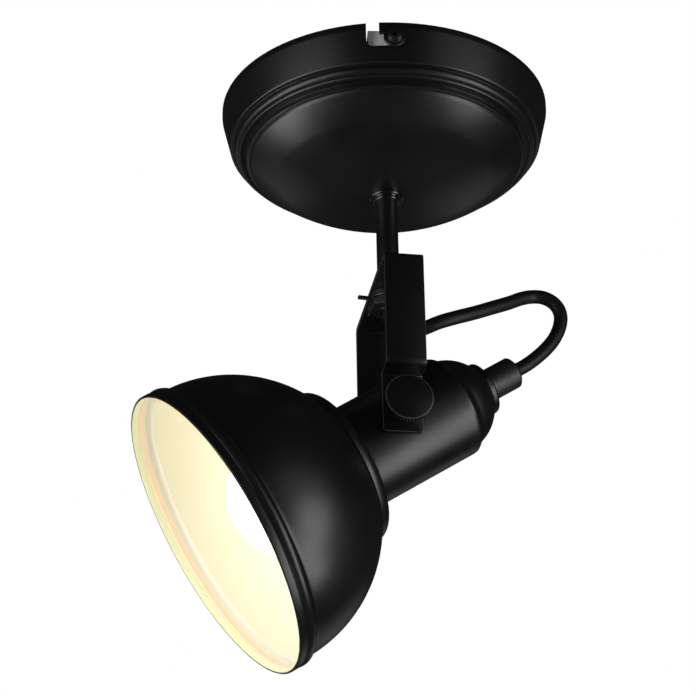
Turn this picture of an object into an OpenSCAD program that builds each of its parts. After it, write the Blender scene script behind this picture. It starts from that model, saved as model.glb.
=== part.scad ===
// Ceiling spotlight: a canopy, a stem, a swivelling strap and a tilting bell shade.
// Millimetres, +Z up. The origin is the centre of the bracket's top face, on the ceiling.
// Head parts are drawn along their own axis: zero at the tilt pivot, positive towards the rim.

/* [Canopy] */
// Radius of the canopy at the ceiling
canopy_r = 60; // [56:0.5:72]
// Wall of the spun canopy
canopy_wall = 1; // [0.8:0.1:1.4]
// Height of the upright band at the rim
rim_band_h = 2.5; // [1.5:0.5:4]
// Height of the whole skirt
skirt_h = 14.1; // [13:0.1:18]
// How far the skirt leans in
skirt_lean = 2.8; // [1.5:0.1:4]
// Height of the beaded band under the skirt
bead_band_h = 4.3; // [4:0.1:6]
// How far the beaded band draws in
bead_band_in = 3.8; // [3:0.1:5]
// Width of the flat ledge inside the beads
ledge_w = 2.4; // [1.5:0.1:4]
// Height of the upright step between the ledge and the dome
foot_h = 2; // [1.5:0.1:3]
// Depth of the dome under the ledge
dome_h = 17; // [15:0.1:22]
// Radius of the flat seat for the stem
dome_seat_r = 6.6; // [6:0.1:8]

/* [Bayonet slots] */
// Width of the L-shaped slots in the skirt
slot_w = 4.6; // [4.4:0.1:5.4]
// Depth of the side screws' axis below the ceiling
side_screw_z = 6.5; // [5.5:0.5:7.5]
// Turn from locked to free
lock_turn = 7.3; // [6:0.1:10]
// Radius of the side screws' thread
side_screw_r = 2; // [1.5:0.5:2]
// Radius of the side screws' heads
side_head_r = 3.9; // [3.4:0.1:4.5]
// Height of the side screws' heads
side_head_h = 2.4; // [2:0.1:3]

/* [Bracket] */
// Width of the bracket strip
bracket_w = 18; // [16:0.5:22]
// Thickness of the bracket
bracket_t = 1.5; // [1.2:0.1:2]
// Height of its turned-down ends
tab_h = 11; // [10:0.5:12]
// Distance between the two ceiling slots
ceiling_pitch = 66; // [62:1:70]
// Length of a ceiling slot, end to end
ceiling_slot_l = 14; // [8:1:16]
// Width of a ceiling slot
ceiling_slot_w = 5; // [4:0.5:6]
// Radius of the hole for the supply
supply_hole_r = 5; // [4:0.5:6]

/* [Stem] */
// Radius of the stem tube
stem_r = 4; // [4:0.1:4.6]
// Radius of its turned-down end under the strap
spigot_r = 3.7; // [3.6:0.05:3.9]
// Radius of its bore
stem_bore_r = 2.7; // [2.6:0.05:2.9]
// Depth of the strap's top below the ceiling
yoke_drop = 75.2; // [65:0.1:95]
// Radius of the collar's flange under the dome
collar_r = 6.05; // [5.5:0.05:6.5]
// Radius of the collar's lower step
collar_step_r = 4.75; // [4.7:0.05:5.2]
// Height of each step of the collar
collar_step_h = 1.4; // [1:0.1:2]

/* [Strap] */
// Width of the strap
yoke_w = 14; // [12:0.5:15]
// Thickness of the strap
yoke_t = 1.5; // [1.2:0.1:2]
// Distance over the two arms
yoke_span = 60.4; // [56:0.2:70]
// Height from the top of the strap to the underside of its steps
arm_h = 43.2; // [40:0.2:60]
// Height of the ears under the steps
ear_h = 21.3; // [18:0.1:26]
// Height of the tilt pivot over the ears' ends
pivot_up = 6.9; // [6:0.1:9]
// Inside radius of the bends
bend_r = 0.5; // [0.4:0.1:1.5]
// Gap between each ear and the cup
ear_gap = 0.35; // [0.3:0.05:0.6]

/* [Swivel stack] */
// Radius of the friction washer
friction_r = 7; // [6:0.1:7]
// Thickness of the friction washer
friction_t = 1.4; // [0.6:0.1:1.6]
// Radius of the stop washer
stop_r = 6.9; // [6:0.1:7]
// Thickness of the stop washer and its finger
stop_t = 1.1; // [0.6:0.1:1.2]
// Reach of the finger from the axis
finger_reach = 11.4; // [11:0.1:12.5]
// Width of the finger
finger_w = 1.5; // [1.2:0.1:2]
// Radius of the spring washer
spring_washer_r = 6; // [5.4:0.1:6.4]
// Thickness of the spring washer
spring_washer_t = 1; // [0.8:0.1:1.4]
// Width of the nut across its flats
nut_flats = 13; // [12:0.5:14]
// Height of the nut
nut_h = 2.6; // [2.4:0.1:4]
// Radius of the stop pin
pin_r = 1; // [0.8:0.1:1.2]
// Distance of the stop pin from the axis
pin_reach = 11.5; // [11:0.1:12]

/* [Thumb screws] */
// Radius of the knurled disc
knob_r = 8.4; // [7.5:0.1:10]
// Thickness of the knurled disc
knob_t = 2.6; // [2:0.1:5]
// Radius of the collar behind the disc
knob_collar_r = 4.1; // [3.9:0.1:5]
// Height from the lock washer to the disc
knob_collar_h = 9.7; // [6:0.1:11]
// Grooves round the disc
knurl_count = 48; // [36:2:60]
// Depth of a groove
knurl_d = 0.35; // [0.2:0.05:0.5]
// Radius of the thumb screws' thread
thumb_r = 2; // [1.8:0.1:2.2]
// Thickness of the lock washers
lock_washer_t = 0.9; // [0.8:0.1:1.2]

/* [Cup] */
// Radius of the cup that holds the lampholder
neck_r = 18.6; // [18.2:0.1:22]
// Wall of the cup
neck_wall = 1; // [0.8:0.1:1.2]
// Length of the cup's cylinder in front of the pivot
neck_front = 17; // [16.5:0.1:20]
// Length of the cup's cylinder behind the pivot
neck_back = 24.3; // [24:0.1:30]
// Length of the cup's domed back, step and boss
neck_dome_l = 15.4; // [14:0.1:18]
// Radius of the boss at the back
boss_r = 9.7; // [9:0.1:10.5]

/* [Shade] */
// Radius of the bell at its widest
bell_r = 51.1; // [48:0.1:60]
// Length of the bell's curve
bell_l = 50.3; // [48:0.1:60]
// Length from the shade's floor to the bell's widest place
bell_end = 49; // [47:0.1:58]
// Wall of the shade
shade_wall = 1; // [0.8:0.1:1.2]
// Radius of the bulged collar next to the cup
shade_collar_r = 28.8; // [27:0.1:29.5]
// Rounding of that collar
shade_collar_round = 4.6; // [3:0.1:5]
// How far the rolled rim stands out from the bell
rim_out = 1.6; // [1:0.1:2.5]
// Length of the rolled rim
rim_l = 8; // [7:0.1:10]

/* [Gland] */
// Radius of the gland's barrel
gland_r = 5.8; // [5:0.1:6.5]
// Length of the barrel behind its flange
gland_l = 12.3; // [10:0.1:15]
// Radius of the gland's flange
gland_flange_r = 6.7; // [6.6:0.1:8]
// Height of the flange
gland_flange_h = 1.3; // [1:0.1:2]
// Radius of the cable
cable_r = 2.5; // [2.4:0.05:2.5]

/* [Lamp] */
// Radius of the bulb's ball
bulb_r = 22.5; // [18:0.5:24]
// Distance of the ball's centre from the pivot
bulb_centre = 42; // [40:0.5:46]
// Wall of the bulb
bulb_wall = 0.8; // [0.6:0.1:1]
// Radius of the screw cap
cap_r = 6.95; // [6.8:0.05:7]
// Radius of the lampholder behind its flange
holder_r = 13.1; // [12.5:0.1:13.1]
// Radius of its threaded front
holder_thread_r = 14.2; // [13.8:0.1:14.4]
// Radius of the ring that clamps the shade
shade_ring_r = 18; // [17:0.1:18.2]

/* [Hidden] */
$fn = 72;

// Rest pose, from which the joints count
yoke_turn = 6.5;
head_tilt = 57.3;

// Clearances
slide_fit = 0.05;
thread_fit = 0.02;
swivel_fit = 0.1;
hole_fit = 0.2;
near_fit = 0.3;
cut = 1;

// Depths that follow from the canopy
bead_top_r = canopy_r - skirt_lean;
bead_low_r = bead_top_r - bead_band_in;
ledge_z = skirt_h + bead_band_h;
foot_r = bead_low_r - ledge_w;
foot_z = ledge_z + foot_h;
dome_r = foot_r - 2.8;
dome_z = ledge_z + 0.4;
flare_end_r = foot_r - 5.4;
flare_hollow = 0.29;
dome_steps = 18;

// Depth at radius x of the dome, a half ellipse of radius r and depth h
function dome_depth(x, r, h) = h * sqrt(1 - pow(x / r, 2));
seat_z = dome_z + dome_depth(dome_seat_r, dome_r, dome_h);
inner_seat_z = seat_z - canopy_wall;

// Radius of the skirt's outside at a depth
function skirt_r(z) = canopy_r - skirt_lean * max(0, z - rim_band_h) / (skirt_h - rim_band_h);

// Bracket: its ends stay clear of the skirt's inside
tab_inner_reach = skirt_r(tab_h) - canopy_wall - 2 * near_fit;
tab_y = sqrt(pow(tab_inner_reach, 2) - pow(bracket_w / 2, 2));
bracket_bend = 0.3;
boss_h = 2;
boss_wall = 1.5;
side_head_y = skirt_r(side_screw_z - side_head_r) + near_fit / 2;

// Terminal block
pole_pitch = 9;
block_l = 3 * pole_pitch;
block_w = 14;
block_h = 8;
block_y = 14;
turret_r = 3;
turret_h = 4.5;
turret_y = 4;
wire_z = bracket_t + 4;
insert_r = 2.5;
insert_bore_r = 1.5;
insert_l = 12;
wire_screw_r = 1.3;
fixing_r = 1.5;
fixing_head_r = 2.7;
fixing_head_h = 1.8;
earth_y = -14;
lug_t = 0.8;
lug_r = 4;
core_r = 0.9;

// Stem
stem_top = 22;
lock_washer_r = 6.3;
lock_washer_h = 0.8;
locknut_h = 3;
web_under = yoke_drop + yoke_t;
friction_z = web_under + friction_t;
stop_z = friction_z + stop_t;
spring_z = stop_z + spring_washer_t;
nut_z = spring_z + nut_h;
stem_end = nut_z + 0.7;
spigot_flat = spigot_r - 0.4;
finger_turn = 192.5;
pin_turn = 116;
pin_drop = 3.2;

// Strap
ear_in = neck_r + ear_gap;
ear_out = ear_in + yoke_t;
arm_out = yoke_span / 2;
step_z = yoke_drop + arm_h;
ear_end = step_z + ear_h;
pivot_z = ear_end - pivot_up;
ear_corner_r = 1;
ear_hole_r = thumb_r + hole_fit;

// Head, along its axis
boss_back = -neck_back - neck_dome_l;
boss_l = 2.2;
cup_floor_t = 1.5;
cup_floor = boss_back + cup_floor_t;
dome_start = -neck_back - 3.2;
dome_start_r = neck_r - 2.1;
dome_end = boss_back + boss_l + 0.9;
dome_end_r = boss_r + 1;
cup_bulge = 0.85;
gland_thread_r = 4.8;
gland_hole_r = gland_thread_r + hole_fit;
gland_flange_end = boss_back - gland_flange_h;
gland_end = gland_flange_end - gland_l;
gland_nut_flats = 12;
gland_nut_h = 2.5;
pivot_nut_r = 4.2;
pivot_nut_neck_r = 3;
pivot_nut_in = holder_r + 0.4;
neck_in = neck_r - neck_wall;

// Shade
collar_slope = 23;
collar_mid = neck_front + 7.1;
shade_hole_r = holder_thread_r + hole_fit;
bell_mid = neck_front + bell_end;
bell_start = collar_mid + 0.9;
rim_end = bell_mid + rim_l;
bell_steps = 18;

// Lamp and lampholder
holder_back = -20;
holder_flange_t = 2.2;
holder_flange_r = neck_in - 0.4;
holder_front = neck_front + 5.8;
holder_mouth_r = 12.9;
holder_mouth = 12;
holder_bore_r = 8.4;
contact_z = bulb_centre + bulb_r - 78;
holder_shell_r = cap_r + 0.2;
insulator_l = 3.5;
cap_l = 17;
cap_top = contact_z + 25;
cap_flare_r = 8;
ring_h = 4.5;
tongue_l = 5;
tongue_w = 3;
tongue_t = 0.6;
tongue_h = 2.5;
terminal_x = 6;
terminal_r = 2.2;
terminal_l = 4;
bulb_neck_l = 18.9;
bulb_foot_l = 3;

// Corner points and arcs
function mix(p, q, f) = p + (q - p) * f;
function turned(d) = [-d[1], d[0]] / norm(d);
// Arc from p to q that stands h to the left of the chord, in n steps
function arc(p, q, h, n) =
  let (c = norm(q - p), r = (c * c / 4 + h * h) / (2 * h), m = (p + q) / 2 + turned(q - p) * (h - r),
    a = atan2(p[1] - m[1], p[0] - m[0]), b = atan2(q[1] - m[1], q[0] - m[0]),
    turn = (b - a + 540) % 360 - 180)
  [for (i = [0:n]) m + abs(r) * [cos(a + turn * i / n), sin(a + turn * i / n)]];
// Arc of radius r about m, from angle a to angle b
function corner(m, r, a, b, n = 8) = [for (i = [0:n]) let (t = a + (b - a) * i / n) m + r * [cos(t), sin(t)]];
function reversed(list) = [for (i = [len(list) - 1:-1:0]) list[i]];

// A tube of radius r along a list of points, with flat ends square to its first and last runs
function run(p, i) = p[min(i + 1, len(p) - 1)] - p[max(i - 1, 0)];
function unit(v) = v / norm(v);
function side_on(v, last) = unit(last - v * (last * v));
function sides(p, i = 0, last = [0.6, 0.8, 0.1]) =
  i == len(p) ? [] : let (s = side_on(unit(run(p, i)), last)) concat([s], sides(p, i + 1, s));
module tube(p, r, n) {
  s = sides(p);
  rings = [for (i = [0:len(p) - 1]) let (d = unit(run(p, i)), u = s[i], v = cross(d, u))
    for (k = [0:n - 1]) p[i] + r * (cos(360 * k / n) * u + sin(360 * k / n) * v)];
  walls = [for (i = [0:len(p) - 2]) for (k = [0:n - 1]) let (a = i * n + k, b = i * n + (k + 1) % n)
    each [[a, b + n, b], [a, a + n, b + n]]];
  first = [for (k = [0:n - 1]) k];
  last = [for (k = [n - 1:-1:0]) (len(p) - 1) * n + k];
  polyhedron(points = rings, faces = concat([first], walls, [last]));
}

module ring(r, bore, h) {
  difference() {
    cylinder(r = r, h = h);
    translate([0, 0, -cut]) cylinder(r = bore, h = h + 2 * cut);
  }
}

module hex(flats, h) {
  cylinder(r = flats / 2 / cos(30), h = h, $fn = 6);
}

// Places
module hanging(depth) {
  translate([0, 0, -depth]) children();
}
module on_yoke() {
  rotate([0, 0, yoke_turn]) children();
}
module at_pivot() {
  translate([0, 0, -pivot_z]) on_yoke() children();
}
module on_head() {
  at_pivot() rotate([0, 180 + head_tilt, 0]) children();
}
// Both ends of the tilt axis, with +Z pointing away from the head
module both_ears() {
  for (a = [0, 180]) rotate([0, 0, a]) rotate([90, 0, 0]) children();
}

// Ceiling side

module bracket_outline() {
  outer = bracket_bend + bracket_t;
  half = concat(
    [[0, 0]],
    corner([tab_y - outer, -outer], outer, 90, 0),
    [[tab_y, -tab_h], [tab_y - bracket_t, -tab_h]],
    corner([tab_y - outer, -outer], bracket_bend, 0, 90),
    [[0, -bracket_t]]);
  polygon(half);
  mirror([1, 0]) polygon(half);
}

module mounting_bracket() color("silver") {
  boss_r = side_screw_r + boss_wall;
  difference() {
    union() {
      rotate([90, 0, 90]) linear_extrude(bracket_w, center = true) bracket_outline();
      for (a = [0, 180]) rotate([0, 0, a]) translate([0, boss_h + bracket_t - tab_y, -side_screw_z])
        rotate([90, 0, 0]) cylinder(r = boss_r, h = boss_h + bracket_t / 2);
    }
    for (a = [0, 180]) rotate([0, 0, a]) {
      translate([0, -tab_y - cut, -side_screw_z]) rotate([-90, 0, 0])
        cylinder(r = side_screw_r + thread_fit, h = boss_h + bracket_t + 2 * cut);
      translate([0, ceiling_pitch / 2, -bracket_t - cut]) linear_extrude(bracket_t + 2 * cut) slot_outline();
    }
    translate([0, 0, -bracket_t - cut]) cylinder(r = supply_hole_r, h = bracket_t + 2 * cut);
    translate([0, earth_y, -bracket_t - cut]) cylinder(r = side_screw_r + thread_fit, h = bracket_t + 2 * cut);
    translate([pole_pitch / 2, block_y, -bracket_t - cut])
      cylinder(r = fixing_r + thread_fit, h = bracket_t + 2 * cut);
  }
}

module slot_outline() {
  reach = (ceiling_slot_l - ceiling_slot_w) / 2;
  for (s = [-reach, reach]) translate([0, s]) circle(d = ceiling_slot_w);
  square([ceiling_slot_w, 2 * reach], center = true);
}

// Pan head with a cross recess, on a shank of length l; the head's seat is at z = 0
module pan_screw(r, head_r, head_h, l) {
  edge = head_h * 0.45;
  difference() {
    rotate_extrude() polygon(concat([[0, -l], [r, -l], [r, 0], [head_r, 0]],
      arc([head_r, edge], [0, head_h], -head_h * 0.28, 8)));
    for (a = [0, 90]) rotate([0, 0, a]) translate([-head_r * 0.5, -head_r * 0.11, head_h * 0.4])
      cube([head_r, head_r * 0.22, head_h]);
  }
}

module side_screws() color("dimgray")
  for (a = [0, 180]) rotate([0, 0, a]) translate([0, -side_head_y, -side_screw_z]) rotate([90, 0, 0])
    pan_screw(side_screw_r, side_head_r, side_head_h, side_head_y - tab_y + bracket_t + boss_h + 1);

module poles() {
  for (i = [-1:1]) translate([i * pole_pitch, block_y, 0]) children();
}

module terminal_block() color("white") difference() {
  union() {
    translate([-block_l / 2, block_y - block_w / 2, -bracket_t - block_h]) cube([block_l, block_w, block_h]);
    poles() for (s = [-turret_y, turret_y]) translate([0, s, -bracket_t - block_h - turret_h])
      cylinder(r = turret_r, h = turret_h + 1);
  }
  poles() {
    translate([0, block_w / 2 + cut, -wire_z]) rotate([90, 0, 0])
      cylinder(r = insert_r + slide_fit, h = block_w + 2 * cut);
    for (s = [-turret_y, turret_y]) translate([0, s, -bracket_t - block_h - turret_h - cut])
      cylinder(r = wire_screw_r + hole_fit, h = turret_h + block_h / 2 + cut);
  }
  for (s = [-1, 1]) translate([s * pole_pitch / 2, block_y, -bracket_t - block_h - cut])
    cylinder(r = fixing_r + hole_fit / 2, h = block_h + 2 * cut);
}

module terminal_inserts() color("goldenrod") poles() difference() {
  translate([0, insert_l / 2, -wire_z]) rotate([90, 0, 0]) ring(insert_r, insert_bore_r, insert_l);
  for (s = [-turret_y, turret_y]) translate([0, s, -wire_z - insert_r - cut])
    cylinder(r = wire_screw_r + thread_fit, h = insert_r + cut);
}

module terminal_screws() color("gainsboro")
  poles() for (s = [-turret_y, turret_y]) translate([0, s, -bracket_t - block_h - turret_h + 1])
    cylinder(r = wire_screw_r, h = block_h + turret_h + bracket_t - 1 - wire_z - core_r - slide_fit);

module terminal_fixing_screw() color("gainsboro")
  translate([pole_pitch / 2, block_y, -bracket_t - block_h]) rotate([180, 0, 0])
    pan_screw(fixing_r, fixing_head_r, fixing_head_h, block_h + bracket_t);

module earth_screw() color("gainsboro")
  translate([0, earth_y, -bracket_t - lug_t]) rotate([180, 0, 0])
    pan_screw(side_screw_r, side_head_r, side_head_h, lug_t + bracket_t);

module earth_lug() color("gainsboro") translate([0, earth_y, -bracket_t - lug_t]) difference() {
  union() {
    cylinder(r = lug_r, h = lug_t);
    translate([-core_r * 1.4, 0, 0]) cube([core_r * 2.8, lug_r + 2, lug_t]);
    translate([0, lug_r + 3, -core_r]) rotate([90, 0, 0]) cylinder(r = core_r + 0.7, h = 3);
  }
  translate([0, 0, -cut]) cylinder(r = side_screw_r + hole_fit, h = lug_t + 2 * cut);
  translate([0, lug_r + 3 + cut, -core_r]) rotate([90, 0, 0]) cylinder(r = core_r + slide_fit, h = 3 + 2 * cut);
}

// Canopy

// Outside of the dome: a flare at its foot runs into an ellipse
function dome_line() =
  let (from = acos(flare_end_r / dome_r), to = acos(dome_seat_r / dome_r))
  concat(
    arc([foot_r, -foot_z], [flare_end_r, -dome_z - dome_depth(flare_end_r, dome_r, dome_h)], -flare_hollow, 5),
    [for (i = [1:dome_steps]) let (a = from + (to - from) * i / dome_steps)
      [dome_r * cos(a), -dome_z - dome_h * sin(a)]]);
// A line moved by w to its left, point by point
function moved(line, w) = [for (i = [0:len(line) - 1])
  line[i] + w * turned(line[min(i + 1, len(line) - 1)] - line[max(i - 1, 0)])];

function canopy_outside() =
  let (top = [bead_top_r, -skirt_h], low = [bead_low_r, -ledge_z])
  concat(
    [[canopy_r, 0], [canopy_r, -rim_band_h]],
    arc(mix(top, low, 0.03), mix(top, low, 0.46), 0.65, 7),
    arc(mix(top, low, 0.5), mix(top, low, 0.93), 0.65, 7),
    [low],
    [[foot_r, -ledge_z]],
    dome_line(),
    [[0, -seat_z]]);

function canopy_inside() = concat(
  [[canopy_r - canopy_wall, 0], [canopy_r - canopy_wall, -rim_band_h],
    [bead_top_r - canopy_wall, -skirt_h], [bead_low_r - canopy_wall, -ledge_z + canopy_wall],
    [foot_r - canopy_wall, -ledge_z + canopy_wall], [foot_r - canopy_wall, -foot_z + canopy_wall / 3]],
  [for (p = moved(dome_line(), -canopy_wall)) if (p[0] < foot_r - 1.5 * canopy_wall && p[0] > dome_seat_r) p],
  [[dome_seat_r, -inner_seat_z], [0, -inner_seat_z]]);

// The L of one slot, cut through the skirt on the -Y side: down from the rim, then a turn to the locked place
module bayonet_slot() {
  depth = canopy_wall + skirt_lean + 4;
  locked_x = (skirt_r(side_screw_z) - canopy_wall / 2) * sin(lock_turn);
  rotate([0, 0, -lock_turn]) translate([0, depth - canopy_r - cut, -side_screw_z]) rotate([90, 0, 0])
    linear_extrude(depth) polygon(concat(
      [[-slot_w / 2, side_screw_z + cut]],
      corner([0, 0], slot_w / 2, 180, 270, 10),
      corner([locked_x, 0], slot_w / 2, -90, 90, 16),
      [[slot_w / 2, slot_w / 2], [slot_w / 2, side_screw_z + cut]]));
}

module canopy_shell() color([0.1, 0.1, 0.1]) difference() {
  rotate_extrude($fn = 120) polygon(concat(canopy_outside(), reversed(canopy_inside())));
  hanging(seat_z + cut) cylinder(r = stem_r + slide_fit, h = canopy_wall + 2 * cut);
  for (a = [0, 180]) rotate([0, 0, a]) bayonet_slot();
}

module stem_collar() color([0.12, 0.12, 0.12]) hanging(seat_z + 2 * collar_step_h) difference() {
  round = 0.4;
  rotate_extrude() polygon(concat(
    [[0, 0], [collar_step_r - round, 0]],
    corner([collar_step_r - round, round], round, -90, 0, 4),
    [[collar_step_r, collar_step_h]],
    corner([collar_r - round, collar_step_h + round], round, -90, 0, 4),
    [[collar_r, 2 * collar_step_h], [0, 2 * collar_step_h]]));
  translate([0, 0, -cut]) cylinder(r = stem_r + slide_fit, h = 2 * collar_step_h + 2 * cut);
}

module stem_tube() color([0.12, 0.12, 0.12]) difference() {
  union() {
    hanging(yoke_drop) cylinder(r = stem_r, h = yoke_drop - stem_top);
    hanging(stem_end) cylinder(r = spigot_r, h = stem_end - yoke_drop + cut);
  }
  hanging(stem_end + cut) cylinder(r = stem_bore_r, h = stem_end - stem_top + 2 * cut);
  rotate([0, 0, finger_turn]) translate([-spigot_flat - spigot_r, -spigot_r, -stem_end - cut])
    cube([spigot_r, 2 * spigot_r, stem_end - web_under + cut]);
}

module stem_locknut() color("gainsboro")
  hanging(inner_seat_z - lock_washer_h) difference() {
    hex(nut_flats, locknut_h);
    translate([0, 0, -cut]) cylinder(r = stem_r + thread_fit, h = locknut_h + 2 * cut);
  }

module stem_lock_washer() color("silver") hanging(inner_seat_z) difference() {
  teeth = 12;
  linear_extrude(lock_washer_h) polygon([for (i = [0:2 * teeth - 1]) let (a = 180 * i / teeth)
    (i % 2 == 0 ? lock_washer_r : lock_washer_r - 0.8) * [cos(a), sin(a)]]);
  translate([0, 0, -cut]) cylinder(r = stem_r + slide_fit, h = lock_washer_h + 2 * cut);
}

// Cores from the stem to the block, and the earth core to its lug
core_tip = -block_y + block_w / 2;
live_route = [[-1.3, 0.8, -24], [-1.3, 0.8, -20], [-2.5, 1, -15], [-5, 1.5, -10.5], [-8, 3.5, -7],
  [-9, 6, -5.5], [-9, 9.5, -5.5]];
neutral_route = [[1.3, 0.8, -24], [1.3, 0.8, -20], [1.2, 1, -15], [0.8, 1.5, -10.5], [0.3, 3.5, -7],
  [0, 6, -5.5], [0, 9.5, -5.5]];
earth_route = [[0, -1.4, -24], [0, -1.4, -19], [0, -2, -13], [0, -3, -8], [0, -4.5, -5],
  [0, -6, -3.5], [0, -7.5, -3.2], [0, -9.5, -3.2]];

module canopy_leads() {
  color("saddlebrown") tube(live_route, core_r, 8);
  color("steelblue") tube(neutral_route, core_r, 8);
  color("yellowgreen") tube(earth_route, core_r, 8);
}

module stem_cable() color([0.15, 0.15, 0.15])
  hanging(stem_end) cylinder(r = cable_r, h = stem_end - stem_top - 2);

module friction_washer() color("gray")
  hanging(friction_z) ring(friction_r, spigot_r + slide_fit, friction_t);

module keyed_hole(h) {
  intersection() {
    cylinder(r = spigot_r + slide_fit, h = h);
    translate([-spigot_flat - slide_fit, -2 * spigot_r, 0]) cube([4 * spigot_r, 4 * spigot_r, h]);
  }
}

module stop_washer() color("gray") hanging(stop_z) rotate([0, 0, finger_turn]) difference() {
  union() {
    cylinder(r = stop_r, h = stop_t);
    translate([0, -finger_w / 2, 0]) cube([finger_reach, finger_w, stop_t]);
  }
  translate([0, 0, -cut]) keyed_hole(stop_t + 2 * cut);
}

module spring_washer() color("gray") hanging(spring_z) difference() {
  ring(spring_washer_r, spigot_r + slide_fit, spring_washer_t);
  translate([0, -0.4, -cut]) cube([spring_washer_r + cut, 0.8, spring_washer_t + 2 * cut]);
}

module chamfered_nut(flats, bore, h) {
  corner_r = flats / 2 / cos(30);
  difference() {
    intersection() {
      hex(flats, h);
      rotate_extrude() polygon([[0, 0], [flats / 2, 0], [corner_r + 0.1, 0.5], [corner_r + 0.1, h], [0, h]]);
    }
    translate([0, 0, -cut]) cylinder(r = bore, h = h + 2 * cut);
  }
}

module swivel_nut() color("gray") hanging(nut_z) rotate([0, 0, yoke_turn + 4])
  rotate([0, 0, 30]) chamfered_nut(nut_flats, spigot_r + thread_fit, nut_h);

// Strap

function yoke_half() =
  let (outer = bend_r + yoke_t,
    a = [arm_out - outer, -yoke_drop - outer],
    b = [arm_out - outer, -step_z + outer],
    c = [ear_out + bend_r, -step_z - bend_r])
  concat(
    [[0, -yoke_drop]],
    corner(a, outer, 90, 0),
    corner(b, outer, 0, -90),
    corner(c, bend_r, 90, 180),
    [[ear_out, -ear_end], [ear_in, -ear_end]],
    corner(c, outer, 180, 90),
    corner(b, bend_r, -90, 0),
    corner(a, bend_r, 0, 90),
    [[0, -web_under]]);

module ear_corner_cut() {
  translate([yoke_w / 2 - ear_corner_r, -ear_end + ear_corner_r]) difference() {
    translate([0, -ear_corner_r - cut]) square(ear_corner_r + cut);
    circle(r = ear_corner_r);
  }
}

module yoke_strap() color([0.1, 0.1, 0.1]) on_yoke() difference() {
  rotate([90, 0, 90]) linear_extrude(yoke_w, center = true) {
    polygon(yoke_half());
    mirror([1, 0]) polygon(yoke_half());
  }
  hanging(web_under + cut) cylinder(r = spigot_r + swivel_fit, h = yoke_t + 2 * cut);
  rotate([0, 0, pin_turn]) translate([pin_reach, 0, -web_under - cut])
    cylinder(r = pin_r + thread_fit, h = yoke_t + 2 * cut);
  hanging(pivot_z) rotate([90, 0, 0]) cylinder(r = ear_hole_r, h = 2 * ear_out + 2 * cut, center = true);
  for (s = [0, 1]) mirror([s, 0, 0]) translate([0, ear_out + cut, 0]) rotate([90, 0, 0])
    linear_extrude(2 * ear_out + 2 * cut) ear_corner_cut();
}

module stop_pin() color([0.2, 0.2, 0.2]) on_yoke() rotate([0, 0, pin_turn])
  translate([pin_reach, 0, -web_under - pin_drop]) {
    cylinder(r = pin_r, h = pin_drop + yoke_t);
  }

module pivot_washers() color("gray") at_pivot() both_ears() translate([0, 0, ear_out]) difference() {
  ring(knob_collar_r - 0.2, thumb_r + hole_fit, lock_washer_t);
  translate([0, -0.4, -cut]) cube([knob_collar_r + cut, 0.8, lock_washer_t + 2 * cut]);
}

// Route of the free cable in the strap's own directions: along the strap's width, across its arms, up
cable_route = [[0, 0, -83.5], [0, 0, -85.5], [1, -1, -89.5], [3.5, -3.5, -93], [7, -6.5, -94.5],
  [11, -9.5, -93.8], [16, -10.8, -91.8], [22, -10.5, -89.4], [29, -8.5, -86.1], [36, -6.2, -82.4],
  [43, -3.5, -78.5], [48, -1.5, -75.4], [52.5, 0, -73.5], [57, 0, -73.6], [60.8, 0, -75.8], [62.7, 0, -79.5],
  [62.5, 0, -84], [60.4, 0, -89.3], [57.2, 0, -93.8], [53.3, 0, -97.8], [49.1, 0, -101.3], [44.9, 0, -104]];

module cable() color([0.15, 0.15, 0.15]) on_yoke() tube(cable_route, cable_r, 10);

// Head

function cup_outside() = concat(
  [[0, boss_back], [boss_r - 0.8, boss_back], [boss_r, boss_back + 0.8], [boss_r, boss_back + boss_l]],
  arc([dome_end_r, dome_end], [dome_start_r, dome_start], -cup_bulge, 8),
  arc([dome_start_r + 0.25, dome_start + 0.5], [neck_r, -neck_back], 0.25, 4),
  [[neck_r, neck_front]]);

function cup_inside() = concat(
  [[0, cup_floor], [boss_r - neck_wall, cup_floor]],
  arc([dome_end_r - neck_wall, dome_end + neck_wall], [dome_start_r - neck_wall, dome_start],
    -cup_bulge, 8),
  [[neck_in, -neck_back + neck_wall], [neck_in, neck_front]]);

module neck_cup() color([0.1, 0.1, 0.1]) {
  on_head() difference() {
    rotate_extrude() polygon(concat(cup_outside(), reversed(cup_inside())));
    translate([0, 0, boss_back - cut]) cylinder(r = gland_hole_r, h = cup_floor_t + 2 * cut);
    rotate([90, 0, 0]) cylinder(r = pivot_nut_neck_r + slide_fit, h = 2 * neck_r + 2 * cut, center = true);
  }
}

// Line of the shade, moved in by w
function shade_line(w) =
  let (m = [shade_collar_r - shade_collar_round, collar_mid], r = shade_collar_round - w,
    start = m + r * [sin(collar_slope), -cos(collar_slope)], floor_z = neck_front + w,
    bell_a = acos((bell_mid - bell_start) / bell_l), mid = bell_r - w)
  concat(
    [[shade_hole_r, floor_z], [start[0] - (start[1] - floor_z) / tan(collar_slope), floor_z]],
    corner(m, r, collar_slope - 90, 0, 6),
    [[shade_collar_r - w - 0.3, collar_mid + 0.5]],
    [for (i = [0:bell_steps]) let (a = bell_a + (90 - bell_a) * i / bell_steps)
      [mid * sin(a), bell_mid - (bell_l - w) * cos(a)]],
    arc([mid + 0.1, bell_mid + 0.4], [mid + rim_out - 0.2, bell_mid + rim_l * 0.6], -1, 7),
    [[mid + rim_out - 0.35, bell_mid + rim_l * 0.63], [mid + rim_out, bell_mid + rim_l * 0.68],
      [mid + rim_out - 0.1, rim_end]]);

module shade() color([0.1, 0.1, 0.1]) on_head()
  rotate_extrude($fn = 120) polygon(concat(shade_line(0), reversed(shade_line(shade_wall))));

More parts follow.
